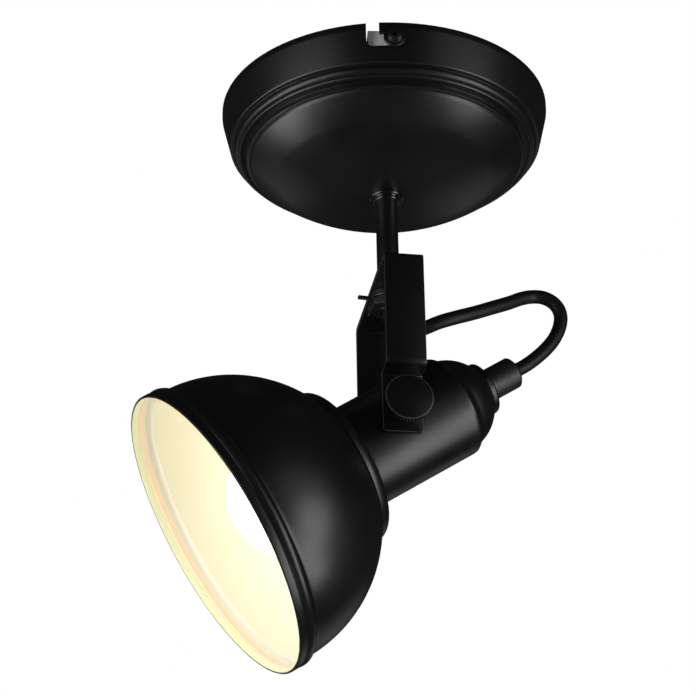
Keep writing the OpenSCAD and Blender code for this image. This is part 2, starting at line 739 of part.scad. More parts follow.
module pivot_nuts() color("silver") at_pivot() both_ears() {
  nut_top = sqrt(pow(neck_in, 2) - pow(pivot_nut_r, 2)) - slide_fit;
  flush = sqrt(pow(neck_r, 2) - pow(pivot_nut_neck_r, 2));
  difference() {
    union() {
      translate([0, 0, pivot_nut_in]) cylinder(r = pivot_nut_r, h = nut_top - pivot_nut_in);
      translate([0, 0, pivot_nut_in]) cylinder(r = pivot_nut_neck_r, h = flush - pivot_nut_in);
    }
    translate([0, 0, pivot_nut_in - cut]) cylinder(r = thumb_r + slide_fit, h = neck_r);
  }
}

module cable_gland() color([0.13, 0.13, 0.13]) on_head() difference() {
  soft = 1.1;
  thread_end = cup_floor + gland_nut_h + 1;
  rotate_extrude() polygon(concat(
    [[0, gland_end], [gland_r - soft - 0.6, gland_end]],
    corner([gland_r - soft, gland_end + soft], soft, -80, 0, 5),
    [[gland_r, gland_flange_end], [gland_flange_r, gland_flange_end], [gland_flange_r, boss_back],
      [gland_thread_r, boss_back], [gland_thread_r, thread_end], [0, thread_end]]));
  translate([0, 0, gland_end - cut]) cylinder(r = cable_r + slide_fit, h = thread_end - gland_end + 2 * cut);
}

module gland_nut() color([0.2, 0.2, 0.2]) on_head() translate([0, 0, cup_floor]) difference() {
  hex(gland_nut_flats, gland_nut_h);
  translate([0, 0, -cut]) cylinder(r = gland_thread_r + thread_fit, h = gland_nut_h + 2 * cut);
}

module gland_cable() color([0.15, 0.15, 0.15]) on_head()
  translate([0, 0, gland_end]) cylinder(r = cable_r, h = cup_floor + gland_nut_h + 3 - gland_end);

module lampholder_body() color("ivory") on_head() difference() {
  rotate_extrude() polygon([
    [0, holder_back], [holder_r - 1.5, holder_back], [holder_r, holder_back + 1.5],
    [holder_r, neck_front - holder_flange_t], [holder_flange_r, neck_front - holder_flange_t],
    [holder_flange_r, neck_front], [holder_thread_r, neck_front], [holder_thread_r, holder_front],
    [holder_mouth_r, holder_front], [holder_mouth_r, holder_mouth], [holder_bore_r, holder_mouth],
    [holder_bore_r, contact_z - tongue_h], [0, contact_z - tongue_h]]);
}

module lampholder_shell() color("goldenrod") on_head()
  translate([0, 0, contact_z + insulator_l]) ring(holder_bore_r - slide_fit, holder_shell_r, cap_l - 2);

// Sprung tongue under the bulb's foot
module lampholder_contact() color("goldenrod") on_head() translate([0, 0, contact_z - tongue_h]) {
  translate([-tongue_l, -tongue_w / 2, 0]) cube([tongue_l + tongue_w / 2, tongue_w, tongue_t]);
  translate([-tongue_w / 2, -tongue_w / 2, 0]) cube([tongue_w, tongue_w, tongue_h]);
}

module lampholder_terminals() color("goldenrod") on_head()
  for (s = [-terminal_x, terminal_x]) translate([s, 0, holder_back - terminal_l]) difference() {
    cylinder(r = terminal_r, h = terminal_l);
    translate([0, 0, -cut]) cylinder(r = core_r + slide_fit, h = 0.75 * terminal_l + cut);
  }

module head_leads() color("saddlebrown") on_head() {
  back = cup_floor + gland_nut_h + 3;
  for (s = [-1, 1])
    tube([[s * 1.2, 0, back], [s * 1.2, 0, back + 1], [s * 1.5, 0, back + 2], [s * 3, 0, back + 3.5], [s * 5.2, 0, back + 5.5],
      [s * terminal_x, 0, holder_back - terminal_l - 0.2],
      [s * terminal_x, 0, holder_back - 1.2]], core_r, 8);
}

module shade_ring() color("ivory") on_head() translate([0, 0, neck_front + shade_wall]) difference() {
  ring(shade_ring_r, holder_thread_r + slide_fit, ring_h);
  for (a = [0:30:330]) rotate([0, 0, a]) translate([shade_ring_r, 0, 1]) cylinder(r = 1.1, h = ring_h);
}

function bulb_line(w) =
  let (r = bulb_r - w, foot = bulb_centre - bulb_neck_l, foot_a = asin(bulb_neck_l / bulb_r))
  concat(
    [[cap_flare_r + 0.2 - w, cap_top]],
    arc([cap_flare_r + 0.6 - w, cap_top + bulb_foot_l], [bulb_r * cos(foot_a) - w, foot], 0.6, 5),
    [for (i = [1:14]) let (a = -foot_a + (90 + foot_a) * i / 14) [r * cos(a), bulb_centre + r * sin(a)]]);

module bulb_glass() color([1, 0.97, 0.9]) on_head()
  rotate_extrude() polygon(concat(bulb_line(0), reversed(bulb_line(bulb_wall))));

module bulb_cap() color("silver") on_head() {
  low = contact_z + insulator_l;
  rotate_extrude() polygon([[cap_r - 1, low], [cap_r, low], [cap_r, low + cap_l],
    [cap_flare_r, cap_top - 0.5], [cap_flare_r, cap_top], [0, cap_top], [0, cap_top - 1],
    [cap_r - 1, low + cap_l - 1]]);
}

module bulb_insulator() color("black") on_head() translate([0, 0, contact_z])
  rotate_extrude() polygon([[0, 0], [2.4, 0], [2.6, 1], [cap_r - 1.1, insulator_l - 0.1],
    [cap_r - 1.1, insulator_l + 3], [0, insulator_l + 3]]);

// Hand screws: knurled disc, collar and thread, with the lock washer's face at z = 0
module thumb_screw() color([0.1, 0.1, 0.1]) {
  edge = 0.4;
  top = knob_collar_h + knob_t;
  seat = ear_out + lock_washer_t;
  translate([0, 0, -seat + pivot_nut_in + 0.5]) cylinder(r = thumb_r, h = seat - pivot_nut_in);
  cylinder(r = knob_collar_r, h = knob_collar_h + 0.5);
  intersection() {
    translate([0, 0, knob_collar_h]) linear_extrude(knob_t)
      polygon([for (i = [0:2 * knurl_count - 1]) let (a = 180 * i / knurl_count)
        (i % 2 == 0 ? knob_r : knob_r - knurl_d) * [cos(a), sin(a)]]);
    rotate_extrude() polygon([
      [0, knob_collar_h - cut], [knob_r - edge - cut, knob_collar_h - cut],
      [knob_r + cut, knob_collar_h + edge + cut], [knob_r + cut, top - edge - cut],
      [knob_r - edge - cut, top + cut], [0, top + cut]]);
  }
}

module thumb_screw_front() at_pivot() rotate([90, 0, 0])
  translate([0, 0, ear_out + lock_washer_t]) thumb_screw();

module thumb_screw_back() at_pivot() rotate([90, 0, 180])
  translate([0, 0, ear_out + lock_washer_t]) thumb_screw();

mounting_bracket();
side_screws();
terminal_block();
terminal_inserts();
terminal_screws();
terminal_fixing_screw();
earth_screw();
earth_lug();
canopy_shell();
stem_collar();
stem_tube();
stem_locknut();
stem_lock_washer();
canopy_leads();
stem_cable();
friction_washer();
stop_washer();
spring_washer();
swivel_nut();
yoke_strap();
stop_pin();
pivot_washers();
cable();
neck_cup();
shade();
pivot_nuts();
cable_gland();
gland_nut();
gland_cable();
lampholder_body();
lampholder_shell();
lampholder_contact();
lampholder_terminals();
head_leads();
shade_ring();
bulb_glass();
bulb_cap();
bulb_insulator();
thumb_screw_front();
thumb_screw_back();
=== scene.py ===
# %% [markdown]
# # A ceiling spotlight in satin black
#
# The lamp hangs from a spun steel canopy. A stem carries a bent strap, and the strap carries a cup with a bell
# shade and a lit globe bulb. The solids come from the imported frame, which fixes every place and size. This script
# makes the pieces that are seen, one by one, and gives each the finish of the real one.

# %% Load the frame
import math

import bmesh
import bpy
from mathutils import Matrix, Vector


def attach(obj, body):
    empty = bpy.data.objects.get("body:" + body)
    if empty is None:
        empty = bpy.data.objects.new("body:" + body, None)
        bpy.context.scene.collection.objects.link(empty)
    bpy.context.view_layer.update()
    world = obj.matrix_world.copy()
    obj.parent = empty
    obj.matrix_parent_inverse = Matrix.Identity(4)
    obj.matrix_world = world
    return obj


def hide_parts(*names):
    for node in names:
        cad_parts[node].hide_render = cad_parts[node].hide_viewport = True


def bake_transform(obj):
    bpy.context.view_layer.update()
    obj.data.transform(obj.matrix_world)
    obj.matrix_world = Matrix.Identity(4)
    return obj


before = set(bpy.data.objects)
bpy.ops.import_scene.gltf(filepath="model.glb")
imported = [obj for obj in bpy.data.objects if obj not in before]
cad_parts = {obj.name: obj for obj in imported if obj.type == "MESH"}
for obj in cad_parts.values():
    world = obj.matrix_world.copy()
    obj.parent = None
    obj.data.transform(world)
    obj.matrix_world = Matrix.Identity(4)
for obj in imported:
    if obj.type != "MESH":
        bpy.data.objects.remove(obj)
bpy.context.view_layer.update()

print("solids in the frame:", len(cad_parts))

# %% [markdown]
# A maker's drawing is in millimetres, and the frame is in metres. Outlines below are written as on the drawing and
# are shrunk when they are put in place. Turns are in degrees, because that is how a maker sets out a bend.

# %% Units and turns
MM = 0.001
SHRINK = Matrix.Scale(MM, 4)


def rotated(degrees, axis):
    return Matrix.Rotation(math.radians(degrees), 4, axis)


def lowered(depth):
    return Matrix.Translation((0, 0, -depth * MM))


print("one millimetre is", MM)

# %% [markdown]
# The camera comes first. Its place and turn were solved from the photograph's ellipses and straight edges. It stands
# below the lamp and looks up, and a long lens gives the same flat perspective as the photograph.

# %% Camera
LENS = 130.5
CAMERA_SPOT = Vector((-57.4, -794.4, -502.4)) * MM
PAN, LOOK_UP, ROLL = -3.06, 26.96, -0.99
camera_data = bpy.data.cameras.new("camera")
camera_data.lens = LENS
camera_data.sensor_width = 36
camera_data.clip_start = 0.01
camera = bpy.data.objects.new("camera", camera_data)
bpy.context.scene.collection.objects.link(camera)
aim = rotated(PAN, "Z") @ rotated(90 + LOOK_UP, "X")
camera.matrix_world = Matrix.Translation(CAMERA_SPOT) @ aim @ rotated(ROLL, "Z")
bpy.context.scene.camera = camera
print("lens", LENS, "mm, looking up", LOOK_UP, "degrees")

# %% [markdown]
# Three places carry everything else. The strap is turned a little on the stem, and the head is turned with it and
# tilted. Head parts are drawn along their own axis, with zero at the tilt pivot and plus towards the rim.

# %% Places
PIVOT = Vector((0, 0, -132.8)) * MM
STRAP_TURN, HEAD_TILT = 6.5, 57.3
STRAP = rotated(STRAP_TURN, "Z")
HEAD = Matrix.Translation(PIVOT) @ STRAP @ rotated(180 + HEAD_TILT, "Y")
SHADE_AXIS = HEAD.to_3x3() @ Vector((0, 0, 1))
EAR_FRONT = Matrix.Translation(PIVOT) @ STRAP @ rotated(90, "X")
EAR_BACK = EAR_FRONT @ rotated(180, "X")
print("shade axis", [round(x, 3) for x in SHADE_AXIS])

# %% [markdown]
# The free cable leaves the stem's end, runs out under the strap, rises over a bow and comes back down into the
# gland. Such a sleeve is limp and 5 mm thick. Its centre line is a smooth curve through a few chosen points, in
# the strap's own directions. A Catmull-Rom spline passes through every point it is given, so the ends stay put.

# %% The cable's centre line
CABLE_R = 2.5
CABLE_ROUTE = [(0, 0, -83.5), (0, 0, -85.5), (1, -1, -89.5), (3.5, -3.5, -93), (7, -6.5, -94.5), (11, -9.5, -93.8),
               (16, -10.8, -91.8), (22, -10.5, -89.4), (29, -8.5, -86.1), (36, -6.2, -82.4), (43, -3.5, -78.5),
               (48, -1.5, -75.4), (52.5, 0, -73.5), (57, 0, -73.6), (60.8, 0, -75.8), (62.7, 0, -79.5), (62.5, 0, -84),
               (60.4, 0, -89.3), (57.2, 0, -93.8), (53.3, 0, -97.8), (49.1, 0, -101.3), (44.9, 0, -104)]


def smooth_route(points, steps):
    ends = [points[0] * 2 - points[1]] + points + [points[-1] * 2 - points[-2]]
    line = []
    for a, b, c, d in zip(ends, ends[1:], ends[2:], ends[3:]):
        for i in range(steps):
            t = i / steps
            line.append(0.5 * (2 * b + (c - a) * t + (2 * a - 5 * b + 4 * c - d) * t * t
                               + (3 * b - a - 3 * c + d) * t * t * t))
    return line + [points[-1]]


cable_line = smooth_route([STRAP @ (Vector(p) * MM) for p in CABLE_ROUTE], 4)

# %% [markdown]
# Most parts here are spun, turned or bent from sheet, so their making starts from an outline. An outline is a list
# of corners. A third number on a corner is the radius that rounds it, because real edges are never sharp. Sheet
# that is pressed or spun also has gentle swells, and a parabola between two points gives those.

# %% Outlines


def rounded(corners, steps=5):
    line = []
    for i, corner in enumerate(corners):
        here = Vector(corner[:2])
        if len(corner) < 3 or i in (0, len(corners) - 1):
            line.append(here)
            continue
        before, after = Vector(corners[i - 1][:2]) - here, Vector(corners[i + 1][:2]) - here
        half = before.angle(after) / 2
        reach = min(corner[2] / math.tan(half), before.length * 0.49, after.length * 0.49)
        p, q = here + before.normalized() * reach, here + after.normalized() * reach
        for k in range(steps + 1):
            t = k / steps
            line.append(p * (1 - t) ** 2 + here * 2 * t * (1 - t) + q * t * t)
    return line


def arc(centre, radius, start, stop, steps=8):
    turns = [math.radians(start + (stop - start) * k / steps) for k in range(steps + 1)]
    return [(centre[0] + radius * math.cos(a), centre[1] + radius * math.sin(a)) for a in turns]


def bulge(p, q, height, steps=8):
    p, q = Vector(p), Vector(q)
    side = Vector((-(q - p).y, (q - p).x)).normalized()
    return [p.lerp(q, k / steps) + side * height * (1 - (2 * k / steps - 1) ** 2) for k in range(steps + 1)]


print("a rounded corner has", len(rounded([(0, 0), (1, 0, 0.2), (1, 1)])) - 2, "points")

# %% [markdown]
# A spun part is its outline turned once round its axis. The spin operator does that, as a lathe does. Doubled
# points on the seam and at the poles are merged, and then the faces are turned outwards.

# %% Spinning
LATHE_STEPS = 96


def spun(outline, steps=LATHE_STEPS, closed=True):
    bm = bmesh.new()
    points = [bm.verts.new((p[0], 0, p[1])) for p in outline]
    edges = [bm.edges.new(pair) for pair in zip(points, points[1:])]
    if closed:
        edges.append(bm.edges.new((points[-1], points[0])))
    bmesh.ops.spin(bm, geom=points + edges, cent=(0, 0, 0), axis=(0, 0, 1), angle=2 * math.pi, steps=steps,
                   use_merge=True)
    bmesh.ops.remove_doubles(bm, verts=bm.verts, dist=1e-4)
    bmesh.ops.recalc_face_normals(bm, faces=bm.faces)
    return bm


print("a lathe with", LATHE_STEPS, "steps")

# %% [markdown]
# A flat or bent part is its side view raised to a thickness, as if sawn from plate. Its sharp edges then get a small
# bevel, because only a broken edge catches the light as metal does.

# %% Raising and softening


def soften(bm, edges, offset, segments=2, material=-1):
    bmesh.ops.bevel(bm, geom=edges, offset=offset, segments=segments, profile=0.5, affect="EDGES", material=material,
                    clamp_overlap=True)


def raised(corners, height, edge=0.0):
    bm = bmesh.new()
    face = bm.faces.new([bm.verts.new((p[0], p[1], 0)) for p in corners])
    top = bmesh.ops.extrude_face_region(bm, geom=[face])
    bmesh.ops.translate(bm, vec=(0, 0, height), verts=[v for v in top["geom"] if isinstance(v, bmesh.types.BMVert)])
    bmesh.ops.recalc_face_normals(bm, faces=bm.faces)
    if edge:
        soften(bm, [e for e in bm.edges if e.calc_face_angle(0) > 0.6], edge)
    return bm


plate = raised([(0, 0), (1, 0), (1, 1), (0, 1)], 1)
print("a raised square has", len(plate.faces), "faces")
plate.free()

# %% [markdown]
# One matrix puts a piece in its place and shrinks it to metres. The place goes into the mesh, so that the object
# itself stays at the origin, as the frame's solids do. Holes and slots are Booleans, applied at once, because a
# piece with nothing live on it is simple to move and to export.

# %% Placing and cutting


def placed(bm, where, name):
    bmesh.ops.transform(bm, matrix=where @ SHRINK, verts=bm.verts)
    mesh = bpy.data.meshes.new(name)
    bm.to_mesh(mesh)
    bm.free()
    thing = bpy.data.objects.new(name, mesh)
    bpy.context.scene.collection.objects.link(thing)
    return thing


def cut_away(thing, *cutters):
    for cutter in cutters:
        cut = thing.modifiers.new("cut", "BOOLEAN")
        cut.operation, cut.solver, cut.object = "DIFFERENCE", "EXACT", cutter
    shape = bpy.data.meshes.new_from_object(thing.evaluated_get(bpy.context.evaluated_depsgraph_get()))
    thing.modifiers.clear()
    thing.data = shape
    for cutter in cutters:
        bpy.data.objects.remove(cutter)


print("placing and cutting are ready")

# %% [markdown]
# Every finished piece goes through one gate. It is shaded smooth except over sharp edges, gets its finish, and is
# told which body it moves with and which solid it stands for. The number of its faces is kept for a count at the end.

# %% Finishing a piece
made = {}


def finished(thing, finish, body, nodes, angle=28):
    mesh = thing.data
    mesh.shade_smooth()
    mesh.set_sharp_from_angle(angle=math.radians(angle))
    if not mesh.materials:
        for f in finish if isinstance(finish, list) else [finish]:
            mesh.materials.append(f)
    if body:
        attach(thing, body)
    if nodes:
        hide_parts(*nodes)
    made[thing.name] = len(mesh.polygons)
    print(thing.name, len(mesh.polygons), "faces")
    return thing


print("pieces so far", len(made))

# %% [markdown]
# ## Finishes
#
# Paint, plating and plastic all start from the Principled shader. Noise in Object coordinates varies the roughness
# and lifts a fine bump, so that highlights break up as on a real surface. Values that are the same all over go
# straight on the shader's own sockets.

# %% Starting a finish


def new_finish(name, color, roughness, metallic=0.0, specular=0.5, coat=0.0):
    finish = bpy.data.materials.new(name)
    finish.use_nodes = True
    shader = finish.node_tree.nodes["Principled BSDF"]
    shader.inputs["Base Color"].default_value = (*color, 1)
    shader.inputs["Roughness"].default_value = roughness
    shader.inputs["Metallic"].default_value = metallic
    shader.inputs["Specular IOR Level"].default_value = specular
    shader.inputs["Coat Weight"].default_value = coat
    finish.diffuse_color = (*color, 1)
    return finish, finish.node_tree, shader


def node(tree, kind, **values):
    made_node = tree.nodes.new(kind)
    for key, value in values.items():
        if key in made_node.inputs.keys():
            made_node.inputs[key].default_value = value
        else:
            setattr(made_node, key, value)
    return made_node


def speckle(tree, scale, detail=3.0):
    place = node(tree, "ShaderNodeTexCoord")
    noise = node(tree, "ShaderNodeTexNoise", Scale=scale, Detail=detail)
    tree.links.new(place.outputs["Object"], noise.inputs["Vector"])
    return noise


print("shader helpers ready")

# %% [markdown]
# A noise mostly stays near a half, so its middle is spread over the range of roughness that the surface has. A
# pattern mixes two tones in the same way, and lifts the surface where it is high.

# %% Varying a finish
NOISE_LOW, NOISE_HIGH = 0.3, 0.7


def spread(tree, source, low, high, to_low=0.0, to_high=1.0):
    scale = node(tree, "ShaderNodeMapRange")
    for socket, value in (("From Min", low), ("From Max", high), ("To Min", to_low), ("To Max", to_high)):
        scale.inputs[socket].default_value = value
    tree.links.new(source, scale.inputs["Value"])
    return scale.outputs["Result"]


def vary(tree, source, socket, low, high):
    tree.links.new(spread(tree, source, NOISE_LOW, NOISE_HIGH, low, high), socket)


def bump(tree, source, shader, strength, distance):
    lift = node(tree, "ShaderNodeBump", Strength=strength, Distance=distance)
    tree.links.new(source, lift.inputs["Height"])
    tree.links.new(lift.outputs["Normal"], shader.inputs["Normal"])


def clouded(name, color, roughness, scale, low, high, detail=3.0, **values):
    finish, tree, shader = new_finish(name, color, roughness, **values)
    vary(tree, speckle(tree, scale, detail).outputs["Fac"], shader.inputs["Roughness"], low, high)
    return finish


def two_tone(tree, factor, low, high):
    mix = node(tree, "ShaderNodeMix", data_type="RGBA")
    for socket, tone in (("A", low), ("B", high)):
        if isinstance(tone, tuple):
            mix.inputs[socket].default_value = (*tone, 1)
        else:
            tree.links.new(tone, mix.inputs[socket])
    tree.links.new(factor, mix.inputs["Factor"])
    return mix.outputs["Result"]


print("noise is read from", NOISE_LOW, "to", NOISE_HIGH)

# %% [markdown]
# The satin black is a powder coat. It is almost black, with a broad soft highlight and the faint orange peel that
# melted powder leaves. Two noises do it: a coarse one for roughness and a fine one for the peel. The small turned
# trim is glossier, because paint flows out smoother on turned metal. The sharpest edges get a grey paint of their
# own, a painted highlight that makes those bevels shine grey as lit edges do.

# %% Satin black paint


def satin_black(name, roughness):
    finish, tree, shader = new_finish(name, (0.0036, 0.0036, 0.0038), roughness, specular=0.42)
    cloud = speckle(tree, 45, 2)
    vary(tree, cloud.outputs["Fac"], shader.inputs["Roughness"], roughness - 0.03, roughness + 0.04)
    peel = speckle(tree, 1600, 2)
    bump(tree, peel.outputs["Fac"], shader, 0.12, 0.00008)
    return finish


black_paint = satin_black("satin_black_paint", 0.34)
strap_paint = satin_black("strap_paint", 0.31)
trim_paint = clouded("trim_paint", (0.004, 0.004, 0.0042), 0.16, 45, 0.14, 0.2, detail=2, specular=0.9)
# A grey paint for the sharpest bevels: a painted highlight along edges that catch the light.
painted_edge_highlight = clouded("painted_edge_highlight", (0.1, 0.1, 0.105), 0.4, 400, 0.32, 0.5, metallic=0.7)
print("paints:", *[paint.name for paint in (black_paint, strap_paint, trim_paint, painted_edge_highlight)])

# %% [markdown]
# The shade's inside is cream white enamel. It takes its glow from the bulb, so it only needs a bright warm colour
# and a soft sheen. Near the rim the colour follows the distance along the shade's axis, which a dot product
# measures: a peach band paints the shade in the groove behind the rim, and a paler tone paints the light on the lip.

# %% White enamel
RIM_START, RIM_END = 0.064, 0.074
# Peach tones paint the shade in the rim's groove; the pale lip tone paints light on the lip.
CREAM, PAINTED_LIP_LIGHT = (0.86, 0.83, 0.69, 1), (0.92, 0.94, 0.66, 1)
PAINTED_GROOVE_SHADE, PAINTED_GROOVE_SHADE_WARM = (0.96, 0.75, 0.6, 1), (0.97, 0.77, 0.61, 1)
enamel, tree, shader = new_finish("cream_enamel_and_painted_rim_light", (0.86, 0.82, 0.68), 0.42, specular=0.4)
vary(tree, speckle(tree, 60, 2).outputs["Fac"], shader.inputs["Roughness"], 0.38, 0.46)
bump(tree, speckle(tree, 1400, 2).outputs["Fac"], shader, 0.08, 0.00006)
along = node(tree, "ShaderNodeVectorMath", operation="DOT_PRODUCT")
along.inputs[1].default_value = SHADE_AXIS
tree.links.new(node(tree, "ShaderNodeTexCoord").outputs["Object"], along.inputs[0])
pivot_depth = HEAD.translation.dot(Vector(along.inputs[1].default_value))
depth = spread(tree, along.outputs["Value"], pivot_depth + RIM_START, pivot_depth + RIM_END)
# This ramp paints the groove's shade and the lip's light along the shade's axis.
tones = node(tree, "ShaderNodeValToRGB")
ramp = tones.color_ramp.elements
ramp[0].color, ramp[1].color = CREAM, PAINTED_LIP_LIGHT
for spot, tone in ((0.5, CREAM), (0.58, PAINTED_GROOVE_SHADE), (0.7, PAINTED_GROOVE_SHADE_WARM), (0.78, PAINTED_LIP_LIGHT)):
    ramp.new(spot).color = tone
tree.links.new(depth, tones.inputs["Fac"])
tree.links.new(tones.outputs["Color"], shader.inputs["Base Color"])
print(enamel.name, "has", len(ramp), "tones")

# %% [markdown]
# Galvanised strip shows frosty patches, the spangle, where zinc crystals froze at different angles. A Voronoi
# pattern gives each patch its own grey and roughness. The side screws and the pin are plated black. The washers and
# the nut under the strap are blackened steel, which keeps a grey metal shine.

# %% Plated metals


def galvanised(name, color, roughness, metallic=1.0):
    finish, tree, shader = new_finish(name, color, roughness, metallic=metallic)
    place = node(tree, "ShaderNodeTexCoord")
    cells = node(tree, "ShaderNodeTexVoronoi", Scale=420.0)
    tree.links.new(place.outputs["Object"], cells.inputs["Vector"])
    split = node(tree, "ShaderNodeSeparateColor")
    tree.links.new(cells.outputs["Color"], split.inputs["Color"])
    dark, light = tuple(c * 0.8 for c in color), tuple(min(1, c * 1.15) for c in color)
    tree.links.new(two_tone(tree, split.outputs["Red"], dark, light), shader.inputs["Base Color"])
    vary(tree, split.outputs["Green"], shader.inputs["Roughness"], roughness - 0.06, roughness + 0.08)
    return finish


zinc = galvanised("galvanised_strip", (0.95, 0.95, 0.96), 0.45, 0.05)
bright_zinc = galvanised("zinc_plate", (0.6, 0.6, 0.6), 0.3)
brass = galvanised("brass", (0.66, 0.46, 0.2), 0.3)
cap_metal = galvanised("cap_aluminium", (0.78, 0.78, 0.79), 0.28)
black_zinc = clouded("black_zinc", (0.006, 0.006, 0.007), 0.3, 500, 0.28, 0.42, specular=0.5)
black_steel = clouded("blackened_steel", (0.08, 0.08, 0.083), 0.26, 400, 0.22, 0.36, metallic=0.85)
print("metals:", *[metal.name for metal in (zinc, bright_zinc, brass, cap_metal, black_zinc, black_steel)])

# %% [markdown]
# Moulded plastics: the gland is matte black with a fine spark-eroded grain, and the lampholder and its clamp ring
# are cream. The terminal block is white.

# %% Plastics


def moulded(name, color, roughness, grain):
    finish, tree, shader = new_finish(name, color, roughness, specular=0.45)
    vary(tree, speckle(tree, 80, 2).outputs["Fac"], shader.inputs["Roughness"], roughness - 0.04, roughness + 0.05)
    bump(tree, speckle(tree, 2200, 2).outputs["Fac"], shader, grain, 0.0001)
    return finish


gland_plastic = moulded("gland_plastic", (0.008, 0.008, 0.008), 0.45, 0.25)
holder_plastic = moulded("holder_plastic", (0.8, 0.76, 0.64), 0.4, 0.08)
block_plastic = moulded("block_plastic", (0.74, 0.74, 0.71), 0.42, 0.08)
insulator_glass = moulded("insulator_glass", (0.01, 0.008, 0.012), 0.1, 0.0)
print("plastics:", *[plastic.name for plastic in (gland_plastic, holder_plastic, block_plastic, insulator_glass)])

# %% [markdown]
# The sleeve is braided from fine black yarn. Two sets of yarns cross, so two diagonal waves in the cable's own UV
# map make the diamonds, and their bump gives the soft rope-like light of the real one.

# %% Braided sleeve
STRANDS = 12
BRAID_PITCH = 0.0016
braid, tree, shader = new_finish("braided_sleeve", (0.004, 0.004, 0.0045), 0.48, specular=0.24)
own_map = node(tree, "ShaderNodeUVMap", uv_map="braid")
axes = node(tree, "ShaderNodeSeparateXYZ")
tree.links.new(own_map.outputs["UV"], axes.inputs["Vector"])


def arithmetic(tree, operation, a, b=None):
    step = node(tree, "ShaderNodeMath", operation=operation)
    for slot_number, value in enumerate((a, b)):
        if value is None:
            continue
        if isinstance(value, (int, float)):
            step.inputs[slot_number].default_value = value
        else:
            tree.links.new(value, step.inputs[slot_number])
    return step.outputs[0]


around = arithmetic(tree, "MULTIPLY", axes.outputs["X"], STRANDS * math.pi)
along = arithmetic(tree, "MULTIPLY", axes.outputs["Y"], math.pi / BRAID_PITCH)
yarn_a = arithmetic(tree, "ABSOLUTE", arithmetic(tree, "SINE", arithmetic(tree, "ADD", around, along)))
yarn_b = arithmetic(tree, "ABSOLUTE", arithmetic(tree, "SINE", arithmetic(tree, "SUBTRACT", around, along)))
weave = arithmetic(tree, "MULTIPLY", yarn_a, yarn_b)
bump(tree, weave, shader, 0.12, 0.0003)
yarn = two_tone(tree, weave, (0.002, 0.002, 0.002), (0.007, 0.007, 0.0075))
tree.links.new(yarn, shader.inputs["Base Color"])
print("braid with", STRANDS, "strands")

# %% [markdown]
# The bulb is opal glass, lit from inside. It is the lamp's own light and fills the shade, so the glass gives off
# warm light and keeps a smooth gloss.

# %% Lit opal glass
WARM_LIGHT, BULB_STRENGTH = (1.0, 0.9, 0.68, 1), 1.36
opal, tree, shader = new_finish("lit_opal_glass", (1.0, 0.97, 0.9), 0.2)
shader.inputs["Emission Color"].default_value = WARM_LIGHT
shader.inputs["Emission Strength"].default_value = BULB_STRENGTH
vary(tree, speckle(tree, 90).outputs["Fac"], shader.inputs["Roughness"], 0.16, 0.26)
print("bulb strength", BULB_STRENGTH)

# %% [markdown]
# The three cores in the canopy are one solid in the frame. Their colours follow from where they are: the earth
# core runs to the front and is green with yellow stripes, the brown one runs left and the blue one right.

# %% Insulated cores
BROWN, BLUE = (0.16, 0.05, 0.02), (0.02, 0.12, 0.5)
GREEN, YELLOW = (0.05, 0.3, 0.05), (0.75, 0.65, 0.05)
core_finish, tree, shader = new_finish("insulated_cores", (0.2, 0.08, 0.03), 0.35)
axes = node(tree, "ShaderNodeSeparateXYZ")
tree.links.new(node(tree, "ShaderNodeTexCoord").outputs["Object"], axes.inputs["Vector"])
is_earth = arithmetic(tree, "LESS_THAN", axes.outputs["Y"], -0.0002)
lean = arithmetic(tree, "ADD", axes.outputs["X"], arithmetic(tree, "MULTIPLY", axes.outputs["Y"], 0.8))
is_blue = arithmetic(tree, "GREATER_THAN", lean, 0.0006)
wave = arithmetic(tree, "SINE", arithmetic(tree, "MULTIPLY", axes.outputs["X"], 4000.0))
stripes = arithmetic(tree, "GREATER_THAN", wave, 0.3)
pair, earth = two_tone(tree, is_blue, BROWN, BLUE), two_tone(tree, stripes, GREEN, YELLOW)
tree.links.new(two_tone(tree, is_earth, pair, earth), shader.inputs["Base Color"])
vary(tree, speckle(tree, 300).outputs["Fac"], shader.inputs["Roughness"], 0.3, 0.42)
print("core colours:", BROWN, BLUE, GREEN, YELLOW)

# %% [markdown]
# ## The cable
#
# A ring of points is pushed along the centre line, a step at a time, and turned to face each new direction. That
# keeps the sleeve round in the bends. Its UV map counts round the ring and along the length, in metres.

# %% The cable
SIDES = 20
bm = bmesh.new()
ring = bmesh.ops.create_circle(bm, segments=SIDES, radius=CABLE_R * MM)["verts"]
heading = [(b - a).normalized() for a, b in zip(cable_line, cable_line[1:])]
heading.append(heading[-1])
facing = [heading[0]] + [(a + b).normalized() for a, b in zip(heading, heading[1:-1])] + [heading[-1]]
bmesh.ops.transform(bm, verts=ring, matrix=Matrix.Translation(cable_line[0])
                    @ Vector((0, 0, 1)).rotation_difference(facing[0]).to_matrix().to_4x4())
bm.faces.new(ring)
rings, edges = [list(ring)], list(bm.edges)
for here, there, old, new in zip(cable_line, cable_line[1:], facing, facing[1:]):
    out = bmesh.ops.extrude_edge_only(bm, edges=edges)["geom"]
    moved = [g for g in out if isinstance(g, bmesh.types.BMVert)]
    edges = [g for g in out if isinstance(g, bmesh.types.BMEdge) and all(v in moved for v in g.verts)]
    turn = old.rotation_difference(new).to_matrix().to_4x4()
    bmesh.ops.transform(bm, verts=moved, matrix=Matrix.Translation(there) @ turn @ Matrix.Translation(-here))
    rings.append(moved)
bmesh.ops.holes_fill(bm, edges=edges, sides=0)
bmesh.ops.recalc_face_normals(bm, faces=bm.faces)
print("cable rings", len(rings))

# %% [markdown]
# The ring number and the place in the ring become UV. The last face of each ring would run backwards, so its
# first corner counts as a whole turn.

